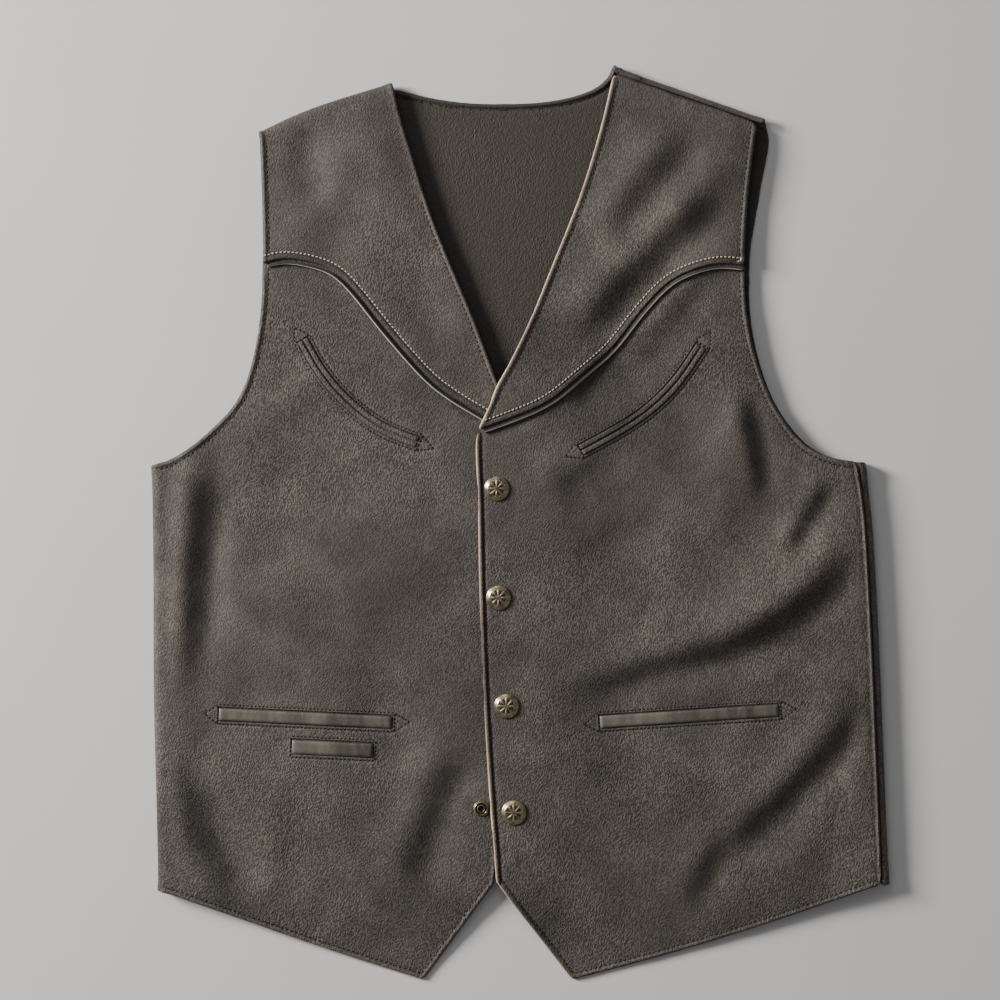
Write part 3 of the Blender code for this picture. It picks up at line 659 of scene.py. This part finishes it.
# mm from the outline to the middle of each line or roll, and its height, depth or width
turnedEdge = {
    "stitches": 4.4, "press": 0.3, "width": 0.8,
    "roll": 2.0, "rollHeight": 0.25, "rollWidth": 1.1,
    "full": 0.4, "fullWidth": 1.6,  # how far the edge is let out, as it is shaped rounder
}
yokeSeam = {
    "stitches": 5.2, "press": 0.25, "width": 0.7,
    "line": 3.9, "lineDepth": 0.6, "lineWidth": 0.6,
    "dip": 2.0, "dipWidth": 0.45,
    "rolls": (1.0, 3.0), "rollHeight": 0.25, "rollWidth": 0.6,
    "shade": 0.32,
}
frontEdge = {"line": 3.7, "width": 0.9, "depth": 0.9}  # pressed beside the left front's raw edge, with painted shade in it
sideSeam = {"ridge": 1.5, "height": 0.7, "width": 0.9, "dip": 3.7, "depth": 0.7, "dipWidth": 0.72}
rawEdge = {"width": 1.9, "soft": 0.7, "dull": 0.93, "dullAt": -100, "dullWidth": 88}
foldRoom = {  # mm: where the folds fade out
    "left": -272, "right": 266, "side": 20,  # x of the sides
    "floor": 1.5, "rise": 3,
    "snap": 11, "snapRise": 14,
}


def leatherCopy(node, material):
    mesh = nodes[node].data.copy()
    mesh.materials.clear()
    mesh.materials.append(material)
    piece = bpy.data.objects.new("dressed_" + node, mesh)
    bpy.context.scene.collection.objects.link(piece)
    pick(piece)
    bpy.ops.mesh.customdata_custom_splitnormals_clear()
    bpy.ops.object.mode_set(mode="EDIT")
    bpy.ops.mesh.select_all(action="SELECT")
    bpy.ops.mesh.remove_doubles(threshold=0.02 * mm)
    bpy.ops.mesh.mark_sharp(clear=True)
    bpy.ops.object.mode_set(mode="OBJECT")
    return piece


def markWalls(piece):
    # the attribute wall: 0 outside, 0.5 on the cut edge, 1 inside
    mesh = piece.data
    facesOf = {}
    for face in mesh.polygons:
        for key in face.edge_keys:
            facesOf.setdefault(key, []).append(face.index)
    normals = [face.normal.copy() for face in mesh.polygons]
    joined = {face.index: [] for face in mesh.polygons}
    for pair in facesOf.values():
        if len(pair) == 2 and normals[pair[0]].dot(normals[pair[1]]) > 0.75:
            joined[pair[0]].append(pair[1])
            joined[pair[1]].append(pair[0])
    values = np.full(len(mesh.polygons), 0.5, dtype=np.float32)
    levels = {face.index: face.center.z for face in mesh.polygons}
    flat = [k for k in levels if abs(normals[k].z) > 0.99]
    top = max((k for k in flat if normals[k].z > 0), key=levels.get)
    bottom = min((k for k in flat if normals[k].z < 0), key=levels.get)
    outer, inner = (bottom, top) if piece.name == "dressed_back" else (top, bottom)
    for start, value in ((outer, 0.0), (inner, 1.0)):
        waiting = [start]
        values[start] = value
        while waiting:
            for k in joined[waiting.pop()]:
                if values[k] == 0.5:
                    values[k] = value
                    waiting.append(k)
    layer = mesh.attributes.new("wall", "FLOAT", "FACE")
    layer.data.foreach_set("value", values)


def editOnly(piece, kind, flags):
    # into edit mode, with these vertices or edges of a piece selected
    pick(piece)
    bpy.ops.object.mode_set(mode="EDIT")
    bpy.ops.mesh.select_mode(type=kind)
    bpy.ops.mesh.select_all(action="DESELECT")
    bpy.ops.object.mode_set(mode="OBJECT")
    parts = piece.data.edges if kind == "EDGE" else piece.data.vertices
    parts.foreach_set("select", flags)
    bpy.ops.object.mode_set(mode="EDIT")


def refineNear(piece, lines, reach, size):
    # edges on top of a panel that are longer than size are halved where fine work lies
    mesh = piece.data
    for _ in range(5):
        points, rises = pointsOf(piece), pointsOf(piece, "normal")[:, 2]
        ends = np.array([edge.vertices[:] for edge in mesh.edges])
        lengths = np.linalg.norm(points[ends[:, 0]] - points[ends[:, 1]], axis=1)
        near = (lengths > size) & (rises[ends].min(axis=1) > 0.3)
        centres = points[ends].mean(axis=1)[:, :2]
        gaps = np.full(len(ends), 9.0)
        gaps[near] = np.min([nearLine(centres[near], line)[0] for line in lines], axis=0)
        near &= gaps < reach + lengths * 0.5
        if not near.any():
            break
        editOnly(piece, "EDGE", near)
        bpy.ops.mesh.subdivide(number_cuts=1, ngon=False)
        bpy.ops.object.mode_set(mode="OBJECT")


def calmTop(piece, outline):
    # evens out the top of a panel away from its edges
    points = pointsOf(piece)
    inner = nearLine(points[:, :2], np.vstack([outline, outline[:1]]))[0] > 7 * mm
    editOnly(piece, "VERT", inner & (pointsOf(piece, "normal")[:, 2] > 0.3))
    bpy.ops.mesh.vertices_smooth(factor=0.5, repeat=8)
    bpy.ops.object.mode_set(mode="OBJECT")


def subdivided(piece, levels):
    pick(piece)
    smooth = piece.modifiers.new("smooth", "SUBSURF")
    smooth.levels = levels
    smooth.render_levels = levels
    bpy.ops.object.modifier_apply(modifier=smooth.name)
    piece.data.shade_smooth()


outlines = {}  # each panel's rim as seen from above
bodies = {}    # each finished panel, to lay things on


def pressed(gap, width):
    # 1 on a line, fading to 0 beside it
    return np.exp(-((gap / width) ** 2))


def roundSnaps(flat):
    # 0 close to the snaps, 1 away from them
    free = np.ones(len(flat))
    for look in snaps["places"].values():
        for place in (look["cap"], look["stud"]):
            gap = np.linalg.norm(flat - np.array(place) * mm, axis=1)
            clear = ease((gap / mm - foldRoom["snap"]) / foldRoom["snapRise"])
            free = np.minimum(free, clear)
    return free


class Hide:
    # the points of a panel, and what is painted on them, while it is shaped
    def __init__(self, name, piece):
        self.name = name
        self.points = pointsOf(piece)
        self.flat = self.points[:, :2]  # a view, which follows the points
        self.normals = pointsOf(piece, "normal")
        self.upper = ease((self.normals[:, 2] - 0.05) / 0.3)
        self.painted_shade, self.rub_and_highlight, self.raw = np.zeros((3, len(self.points)))

    def gap(self, run):
        # mm from a run of the outline
        return nearLine(self.flat, stretch(outlines[self.name], *run))[0] / mm

    def lift(self, height):
        self.points[:, 2] += height * mm

    def shade(self, *shares):
        # painted shade: each point keeps the darkest share
        self.painted_shade = np.max([self.painted_shade, *shares], axis=0)

    def shine(self, *shares):
        # lighter leather, partly rubbed and partly painted highlight: each point keeps the brightest
        # share
        self.rub_and_highlight = np.max([self.rub_and_highlight, *shares], axis=0)

    def layFolds(self):
        flat, height, look = self.flat, self.points[:, 2], foldRoom
        inboard = np.minimum(flat[:, 0] - look["left"] * mm, look["right"] * mm - flat[:, 0])
        room = ease(inboard / (look["side"] * mm)) * roundSnaps(flat)
        room *= ease((height - look["floor"] * mm) / (look["rise"] * mm))
        rise = foldHeight(flat) + swells(flat, 24 * mm, 1) * 0.6 * mm
        rise += swells(flat, 11 * mm, 2) * 0.16 * mm
        self.points[:, 2] += rise * room

    def turnEdges(self, look, runs):
        for run in runs:
            gap = self.gap(run)
            sewn = pressed(gap - turnedEdge["stitches"], turnedEdge["width"]) * self.upper
            roll = pressed(gap - turnedEdge["roll"], turnedEdge["rollWidth"]) * self.upper
            self.lift(roll * turnedEdge["rollHeight"] - sewn * turnedEdge["press"])
            if run in look["rims"]:
                full = pressed(gap, turnedEdge["fullWidth"]) * turnedEdge["full"] * mm
                self.points[:, :2] += self.normals[:, :2] * full[:, None]
            # painted shade in the stitch line; the roll lighter, partly rubbed and partly painted
            # highlight
            self.shade(sewn * 0.1)
            self.shine(roll)

    def pressYokeSeam(self, run):
        look = yokeSeam
        gap = self.gap(run)
        line = pressed(gap - look["line"], look["lineWidth"]) * self.upper
        dip = pressed(gap - look["dip"], look["dipWidth"]) * self.upper
        rolls = sum(pressed(gap - place, look["rollWidth"]) for place in look["rolls"]) * self.upper
        sewn = pressed(gap - look["stitches"], look["width"]) * self.upper
        self.lift(rolls * look["rollHeight"] - line * look["lineDepth"] - sewn * look["press"])
        # the band along the yoke's edge darker; painted shade in the pressed line and the dip; painted
        # highlight on the first roll
        within = look["shade"] * ease((look["line"] - gap) / 0.4) * self.upper
        self.shade(within, line * 0.85, dip * 0.5)
        self.shine(pressed(gap - look["rolls"][0], 0.5) * self.upper * 0.9)

    def pressFrontEdge(self, run):
        line = pressed(self.gap(run) - frontEdge["line"], frontEdge["width"]) * self.upper
        self.lift(-line * frontEdge["depth"])
        # painted shade in the pressed line
        self.shade(line * 0.85)

    def pressSideSeam(self, run):
        gap = self.gap(run)
        ridge = pressed(gap - sideSeam["ridge"], sideSeam["width"]) * self.upper
        dip = pressed(gap - sideSeam["dip"], sideSeam["dipWidth"]) * self.upper
        self.lift(ridge * sideSeam["height"] - dip * sideSeam["depth"])
        # painted shade in the dip; the ridge lighter, partly rubbed and partly painted highlight
        self.shade(dip * 0.9)
        self.shine(ridge)

    def bareEdge(self, run):
        # the cut edge's own colour, dulled between the snaps
        look = rawEdge
        dulled = pressed((self.flat[:, 1] / mm - look["dullAt"]) / look["dullWidth"], 1) ** 2
        steep = ease((0.85 - self.normals[:, 2]) / 0.3)
        bare = ease((look["width"] - self.gap(run)) / look["soft"]) * steep
        self.raw = np.maximum(self.raw, bare * (1 - look["dull"] * dulled))

    def pressPocket(self, pocket):
        # a gap round the lips or welt, the turned edge beside it, and the rows of stitches, with
        # painted shade in the gap and rows and painted highlight on the edge and beside the rows
        look = pocketRim
        seam = np.min([nearLine(self.flat, row)[0] for row in rowsRound(pocket)], axis=0) / mm
        out = outOf(self.flat, pocket) - pocket["edge"]
        ridge = pressed(out - look["ridge"], look["ridgeWidth"]) * self.upper
        moat = pressed(out - look["moat"], look["moatWidth"]) * self.upper
        middle = curved(pocket["line"], 2)
        side = besideLine(self.flat, middle)[0] * (1 if middle[-1][0] > middle[0][0] else -1)
        moat *= 0.35 + 0.65 * ease(side / mm / 4)  # deeper on the upper side, and darker there by painted shadow
        sewn = pressed(seam, look["rowWidth"]) * self.upper
        self.lift(ridge * look["ridgeHeight"] - sewn * look["rowDepth"] - moat * look["moatDepth"])
        # painted shade in the rows and the gap; painted highlight on the turned edge and beside the
        # rows
        self.shade(sewn * 0.12, moat)
        self.shine(ridge, pressed(seam - look["flank"], 0.5) * self.upper)


def dress(piece, name):
    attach(piece, "root")
    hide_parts(name)


def makePanel(name, look):
    piece = leatherCopy(name, leather)
    markWalls(piece)
    outlines[name] = rimOf(piece)
    subdivided(piece, 2)
    if name.startswith("front"):
        calmTop(piece, outlines[name])
    own = [pocket for pocket in pockets.values() if pocket["on"] == name]
    if own:
        rows = [row for pocket in own for row in rowsRound(pocket)]
        refineNear(piece, rows, 2.2 * mm, 0.8 * mm)

    hide = Hide(name, piece)
    if name != "back":
        hide.layFolds()
    if name.startswith("yoke"):
        hide.turnEdges(look, look["rims"])
        hide.pressYokeSeam(look["seams"][0])
    else:
        hide.turnEdges(look, look["rims"] + look["seams"])
    if name == "front_left":
        hide.pressFrontEdge(look["raw"][0])
        hide.pressSideSeam(look["side"])
    for run in look["raw"]:
        hide.bareEdge(run)
    for pocket in own:
        hide.pressPocket(pocket)
    movePoints(piece, hide.points)
    # painted shade, lines lighter by rubbing and painted highlight, and the bare cut edge
    paint(piece, "painted_shade", hide.painted_shade)
    paint(piece, "rub_and_highlight", hide.rub_and_highlight)
    paint(piece, "raw", hide.raw)
    dress(piece, name)
    faces = [face.vertices[:] for face in piece.data.polygons]
    bodies[name] = BVHTree.FromPolygons([Vector(p) for p in hide.points], faces)
    print("panel", name, len(faces), "faces")
    return piece


# What is sewn on the panels: piping, pocket lips and welts

# mm; square: how square the section is, the higher the squarer
lip = {"width": 3.9, "height": 1.1, "square": 4.5}
welt = {"width": 9.6, "height": 1.4, "square": 5}
trims = {  # which pocket's line, and how far beside it
    "chest_upper_right": {"pocket": "chest_right", "beside": 2.3, **lip},
    "chest_lower_right": {"pocket": "chest_right", "beside": -2.3, **lip},
    "chest_upper_left": {"pocket": "chest_left", "beside": -2.3, **lip},
    "chest_lower_left": {"pocket": "chest_left", "beside": 2.3, **lip},
    "welt_right": {"pocket": "welt_right", "beside": 0, **welt},
    "welt_small": {"pocket": "welt_small", "beside": 0, **welt, "width": 10.8},
    "welt_left": {"pocket": "welt_left", "beside": 0, **welt},
}
stripGrid = {"pitch": 1.2, "rows": 14}  # mm along a strip, faces across it
down = Vector((0, 0, -1))
above = 0.1  # m, higher than all that lies on the floor


def stripShell(name, count):
    # a flat grid 1 by 1, with walls pulled down from its edge and a closed bottom
    bpy.ops.object.select_all(action="DESELECT")
    bpy.ops.mesh.primitive_grid_add(x_subdivisions=count, y_subdivisions=stripGrid["rows"], size=1)
    piece = bpy.context.object
    piece.name = "dressed_" + name
    bpy.ops.object.mode_set(mode="EDIT")
    bpy.ops.mesh.region_to_loop()
    bpy.ops.mesh.extrude_edges_move()
    bpy.ops.transform.translate(value=down)
    bpy.ops.mesh.edge_face_add()
    bpy.ops.mesh.select_all(action="SELECT")
    bpy.ops.mesh.normals_make_consistent(inside=False)
    bpy.ops.object.mode_set(mode="OBJECT")
    return piece


def makeStrip(name, look):
    # a padded strip laid along a pocket's line, on the panel as it lies
    pocket = pockets[look["pocket"]]
    line = beside(curved(pocket["line"], stripGrid["pitch"]), look["beside"] * mm)
    piece = stripShell(name, len(line) - 1)
    points = pointsOf(piece)
    place = (points[:, 0] + 0.5) * (len(line) - 1)
    steps = np.arange(len(line))
    run = np.gradient(line, axis=0)
    run /= np.linalg.norm(run, axis=1)[:, None]
    middle = np.stack([np.interp(place, steps, line[:, k]) for k in (0, 1)], axis=1)
    across = np.stack([np.interp(place, steps, side) for side in (-run[:, 1], run[:, 0])], axis=1)
    flat = middle + across * (points[:, 1:2] * look["width"] * mm)
    body = bodies[pocket["on"]]
    under = np.array([body.ray_cast(Vector((x, y, above)), down)[0].z for x, y in middle])
    length = (len(line) - 1) * stripGrid["pitch"]
    ends = np.minimum(points[:, 0] + 0.5, 0.5 - points[:, 0]) * length
    section = 1 - np.abs(2 * points[:, 1]) ** look["square"] * 0.85
    section *= 0.35 + 0.65 * ease(ends / 1.6)
    top = points[:, 2] > -0.5
    rise = np.where(top, 0.2 + look["height"] * section, 0.1)
    rise += np.where(top, swells(flat, 11 * mm, 5) * 0.14, 0)
    movePoints(piece, np.column_stack([flat, under + rise * mm]))
    gap = np.abs(2 * points[:, 1]) * look["width"] / 2 - look["width"] / 2 + 0.5
    # painted shade along the strip's edges, where it meets the panel
    paint(piece, "painted_shade", np.clip(ease(gap / 0.5) * 0.9, 0, 1))
    smooth = name.startswith("welt")
    rub_and_highlight = 1.1 - 1.1 * ease(flatShare(flat[:, 0])) if smooth else np.full(len(flat), 0.3)
    paint(piece, "rub_and_highlight", rub_and_highlight)  # painted highlight at a welt's left end; the lips a little lighter all over
    pick(piece)
    bpy.ops.object.shade_smooth_by_angle(angle=math.radians(50))
    piece.data.materials.append(weltLeather if smooth else leather)
    dress(piece, name)
    return piece


def flatShare(values):
    # 0 at the lowest, 1 at the highest
    return (values - values.min()) / (values.max() - values.min())


pipings = {  # across: x of the way that its painted highlight line faces; then where on the bead that painted highlight lies, and how bright it is
    "piping_right": {"on": "front_right", "across": -0.6, "brightAt": 0.66, "glint": 1.0},
    "piping_left": {"on": "front_left", "across": 0.6, "brightAt": 0.25, "glint": 0.45},
}


def makePiping(name, look):
    # the bead, made a little fuller; darker all over, partly its own colour and partly painted shade,
    # with a painted highlight line along it where it is less dark
    piece = leatherCopy(name, weltLeather)
    subdivided(piece, 2)
    points = pointsOf(piece)
    normals = pointsOf(piece, "normal")
    points += normals * 0.32 * mm
    points[:, 2] += foldHeight(points[:, :2]) + 0.3 * mm
    movePoints(piece, points)
    away = normals @ np.array([look["across"], -0.8, 0])
    top = ease((normals[:, 2] - 0.2) / 0.3)
    # painted highlight line, and painted shade that is lighter beside it
    paint(piece, "glint", pressed(away - look["brightAt"], 0.2) * top * look["glint"])
    paint(piece, "painted_shade", 0.9 - 0.5 * pressed(away - look["brightAt"], 0.4))
    dress(piece, name)
    return piece


# Rows of stitches

stitches = {  # mm and degrees
    "dark": {"length": 2.5, "width": 1.4, "height": 0.6, "pitch": 3.8, "sunk": -0.1, "slant": 14},
    "fine": {"length": 2.0, "width": 1.5, "height": 0.7, "pitch": 3.0, "sunk": -0.12, "slant": 12},
    "ivory": {"length": 2.25, "width": 1.05, "height": 0.85, "pitch": 3.1, "sunk": -0.15, "slant": 5},
    # dark dots in the needle holes between the ivory stitches: painted shade, made of dark thread
    "holes": {"length": 0.8, "width": 0.95, "height": 0.4, "pitch": 3.1, "sunk": -0.02, "slant": 0},
}
randomTurn = np.random.default_rng(5)
rowPitch = 1.5 * mm  # between the points of a run that a row follows


def stitchShape():
    bpy.ops.object.select_all(action="DESELECT")
    bpy.ops.mesh.primitive_uv_sphere_add(segments=8, ring_count=5, radius=0.5)
    ball = bpy.context.object
    shape = pointsOf(ball)[:, [2, 0, 1]]  # its poles are the stitch's ends
    faces = [list(face.vertices) for face in ball.data.polygons]
    bpy.data.objects.remove(ball, do_unlink=True)
    return shape, faces


def topAt(x, y):
    # the highest panel at a place: its name, the point and the normal
    best = None
    for name, body in bodies.items():
        point, normal, _, _ = body.ray_cast(Vector((x, y, above)), down)
        if point and (best is None or point.z > best[1].z):
            best = (name, point, normal)
    return best


def sewRow(row, kind, on, shift=0.0):
    # one stitch at each pitch along a row, where its panel lies on top and faces up
    look = stitches[kind]
    line = evenly(row, look["pitch"] * mm)
    runs = np.gradient(line, axis=0)
    found = []
    for spot, run in zip(line[:-1] + np.diff(line, axis=0) * (0.5 + shift), runs):
        top = topAt(*spot)
        if top and top[0] == on and top[2].z > 0.25:
            turn = math.radians(look["slant"] + randomTurn.normal(0, 2.5))
            found.append((top[1], Vector((*run, 0)), top[2], turn))
    return found


def joinStitches(name, places, kind, material):
    look = stitches[kind]
    shape, faces = stitchBall
    size = np.array([look["length"], look["width"], look["height"]]) * mm
    points, polygons = [], []
    for point, run, normal, turn in places:
        along = (run - normal * run.dot(normal)).normalized()
        across = normal.cross(along)
        along, across = (along * math.cos(turn) + across * math.sin(turn),
                         across * math.cos(turn) - along * math.sin(turn))
        axes = np.array([along, across, normal])
        centre = np.array(point) - np.array(normal) * look["sunk"] * mm
        start = len(points) * len(shape)
        polygons += [[start + k for k in face] for face in faces]
        points.append((shape * size) @ axes + centre)
    piece = meshPiece(name, np.vstack(points), polygons, material)
    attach(piece, "root")
    return piece


def inset(name, run, distance):
    # the part of a row that stays this far from the whole outline
    outline = outlines[name]
    row = beside(evenly(stretch(outline, *run), rowPitch), distance * mm)
    gap = nearLine(row, np.vstack([outline, outline[:1]]))[0]
    return row[gap > distance * mm * 0.86]


def sewPanel(name, look):
    made = []
    rows = []
    for run in look["rims"]:
        row = inset(name, run, turnedEdge["stitches"])
        if len(row) > 4:
            rows += sewRow(row, "dark", name)
    if rows:
        made.append(joinStitches("stitches_rim_" + name, rows, "dark", dark))
    rows = []
    for pocket in pockets.values():
        if pocket["on"] == name:
            for row in rowsRound(pocket):
                rows += sewRow(row, "fine", name)
    if rows:
        made.append(joinStitches("stitches_pockets_" + name, rows, "fine", dark))
    if name.startswith("yoke"):
        run = evenly(stretch(outlines[name], *look["seams"][0]), rowPitch)[2:-2]
        row = beside(run, yokeSeam["stitches"] * mm)
        seam = sewRow(row, "ivory", name)
        made.append(joinStitches("stitches_seam_" + name, seam, "ivory", ivory))
        # dark dots between the ivory stitches: painted shade of the needle holes
        holes = sewRow(row, "holes", name, 0.5)
        made.append(joinStitches("holes_seam_" + name, holes, "holes", dark))
    return made


# Snaps: turned caps with a struck rosette, rings of the studs

snaps = {
    "places": {  # mm
        1: {"cap": (-17.45, 26.5), "stud": (-17.45, 26.5)},
        2: {"cap": (-16.15, -56.2), "stud": (-16.15, -56.2)},
        3: {"cap": (-10.15, -138.5), "stud": (-10.15, -138.5)},
        4: {"cap": (-4.45, -219.3), "stud": (-29.35, -216.8)},
    },
    # radius and height from the bottom's middle round to the top's middle, mm
    "cap": ((8.6, 0.0), (9.3, 0.05), (9.5, 0.3), (9.35, 0.6), (8.95, 0.84), (8.4, 1.14), (7.8, 1.5),
            (7.2, 1.85), (6.6, 2.17), (6.3, 2.32), (6.0, 2.45), (5.4, 2.67), (4.8, 2.83), (4.2, 2.94),
            (3.5, 3.0), (2.8, 3.04), (2.3, 3.06), (1.8, 3.07), (1.2, 3.08), (0.6, 3.09)),
    "stud": ((5.4, 0.0), (5.9, 0.05), (6.0, 0.3), (5.8, 0.5), (5.5, 0.5), (5.3, 0.6), (5.2, 1.0),
             (5.0, 1.35), (4.7, 1.5), (4.4, 1.4), (4.2, 1.1), (4.1, 0.5), (3.9, 0.3), (3.4, 0.3),
             (3.15, 0.5), (3.1, 1.6), (2.95, 2.1), (2.7, 2.3), (2.4, 2.2), (2.2, 1.8), (2.1, 0.6),
             (1.4, 0.4)),
    "segments": {"cap": 96, "stud": 48},
}
rosette = {  # mm from the middle
    "rays": 8, "inner": 1.9, "outer": 6.6, "depth": 0.5,
    "eye": 1.6, "ring": 7.6, "dots": 6.3, "rim": 9.4,
}


def turnedShape(name, rows, x, y, z, segments):
    # rings pulled out of a circle one after the other, closed at both ends
    middle = Vector((x, y, z))
    bpy.ops.object.select_all(action="DESELECT")
    radius, height = rows[0]
    bpy.ops.mesh.primitive_circle_add(vertices=segments, radius=radius * mm, fill_type="TRIFAN",
                                      location=middle + Vector((0, 0, height * mm)))
    piece = bpy.context.object
    piece.name = name
    bpy.ops.object.transform_apply(location=True)
    bpy.ops.object.mode_set(mode="EDIT")
    bpy.ops.mesh.flip_normals()
    bpy.ops.mesh.region_to_loop()
    for nextRadius, nextHeight in rows[1:]:
        bpy.ops.mesh.extrude_edges_move()
        bpy.ops.transform.translate(value=(0, 0, (nextHeight - height) * mm))
        share = nextRadius / radius
        bpy.ops.transform.resize(value=(share, share, 1), center_override=middle)
        radius, height = nextRadius, nextHeight
    bpy.ops.mesh.edge_face_add()
    bpy.ops.mesh.poke()
    bpy.ops.mesh.select_all(action="SELECT")
    bpy.ops.mesh.normals_make_consistent(inside=False)
    bpy.ops.object.mode_set(mode="OBJECT")
    return piece


def turnedCopy(kind, number):
    # a turned shape at its CAD node's place: the piece, its middle and its lowest point
    low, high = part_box(f"snap_{kind}_{number}")
    x, y = (low[0] + high[0]) / 2, (low[1] + high[1]) / 2
    name = f"dressed_snap_{kind}_{number}"
    piece = turnedShape(name, snaps[kind], x, y, low[2], snaps["segments"][kind])
    return piece, np.array([x, y]), low[2]


def makeCap(number):
    piece, middle, bottom = turnedCopy("cap", number)
    points = pointsOf(piece)
    away = points[:, :2] - middle
    radius = np.linalg.norm(away, axis=1) / mm
    turn = rosette["rays"] * np.arctan2(away[:, 1], away[:, 0])
    onTop = ease((points[:, 2] - bottom) / mm - 1.1)
    ray = (0.5 + 0.5 * np.cos(turn)) ** 1.5
    petal = ease((rosette["outer"] - radius) / 0.5) * ease((radius - rosette["inner"]) / 0.6)
    ring = pressed(radius - rosette["ring"], 0.3) * 0.7 + pressed(radius - rosette["eye"], 0.3)
    dots = pressed(radius - rosette["dots"], 0.45) * ease(np.cos(turn + math.pi) * 3 - 1.6)
    cut = np.clip(petal * (1 - ray) + ring - dots, 0, 1) * onTop
    points[:, 2] -= cut * rosette["depth"] * mm
    movePoints(piece, points)
    # painted shade round the rim, stored with the rosette's patina
    rimShade = pressed(radius - rosette["rim"], 0.3) * 0.8
    paint(piece, "patina_and_shade", np.clip(cut + rimShade, 0, 1))
    finishMetal(piece, f"snap_cap_{number}")


def makeStud(number):
    piece, middle, _ = turnedCopy("stud", number)
    radius = np.linalg.norm(pointsOf(piece)[:, :2] - middle, axis=1) / mm
    hollow = ease((4.25 - radius) / 0.2) * (1 - pressed(radius - 2.7, 0.3) * 0.5)
    # the hollow darker, and painted shade at the foot of the ring
    paint(piece, "patina_and_shade", np.clip(hollow + pressed(radius - 5.5, 0.2) * 0.9, 0, 1))
    finishMetal(piece, f"snap_stud_{number}")


def finishMetal(piece, node):
    piece.data.materials.append(metal)
    piece.data.shade_smooth()
    dress(piece, node)


makeCamera()
makeLights()
makeFloor()
leather = makePanelLeather()
weltLeather = makeWeltLeather()
ivory = makeThread("ivory")
dark = makeThread("dark")
metal = makeSnapMetal()
print("camera, lights, floor and materials made")

sheets = {name: makePanel(name, look) for name, look in panels.items()}
sewnOn = {name: [] for name in panels}
for name, look in trims.items():
    sewnOn[pockets[look["pocket"]]["on"]].append(makeStrip(name, look))
for name, look in pipings.items():
    sewnOn[look["on"]].append(makePiping(name, look))
print("trims made")
stitchBall = stitchShape()
for name, look in panels.items():
    sewnOn[name] += sewPanel(name, look)
print("panels sewn:", sum(len(found) for found in sewnOn.values()), "pieces on them")
for number in snaps["places"]:
    makeCap(number)
    makeStud(number)
    socket = nodes[f"snap_socket_{number}"]
    socket.data.materials.clear()
    socket.data.materials.append(metal)
print("snaps made")
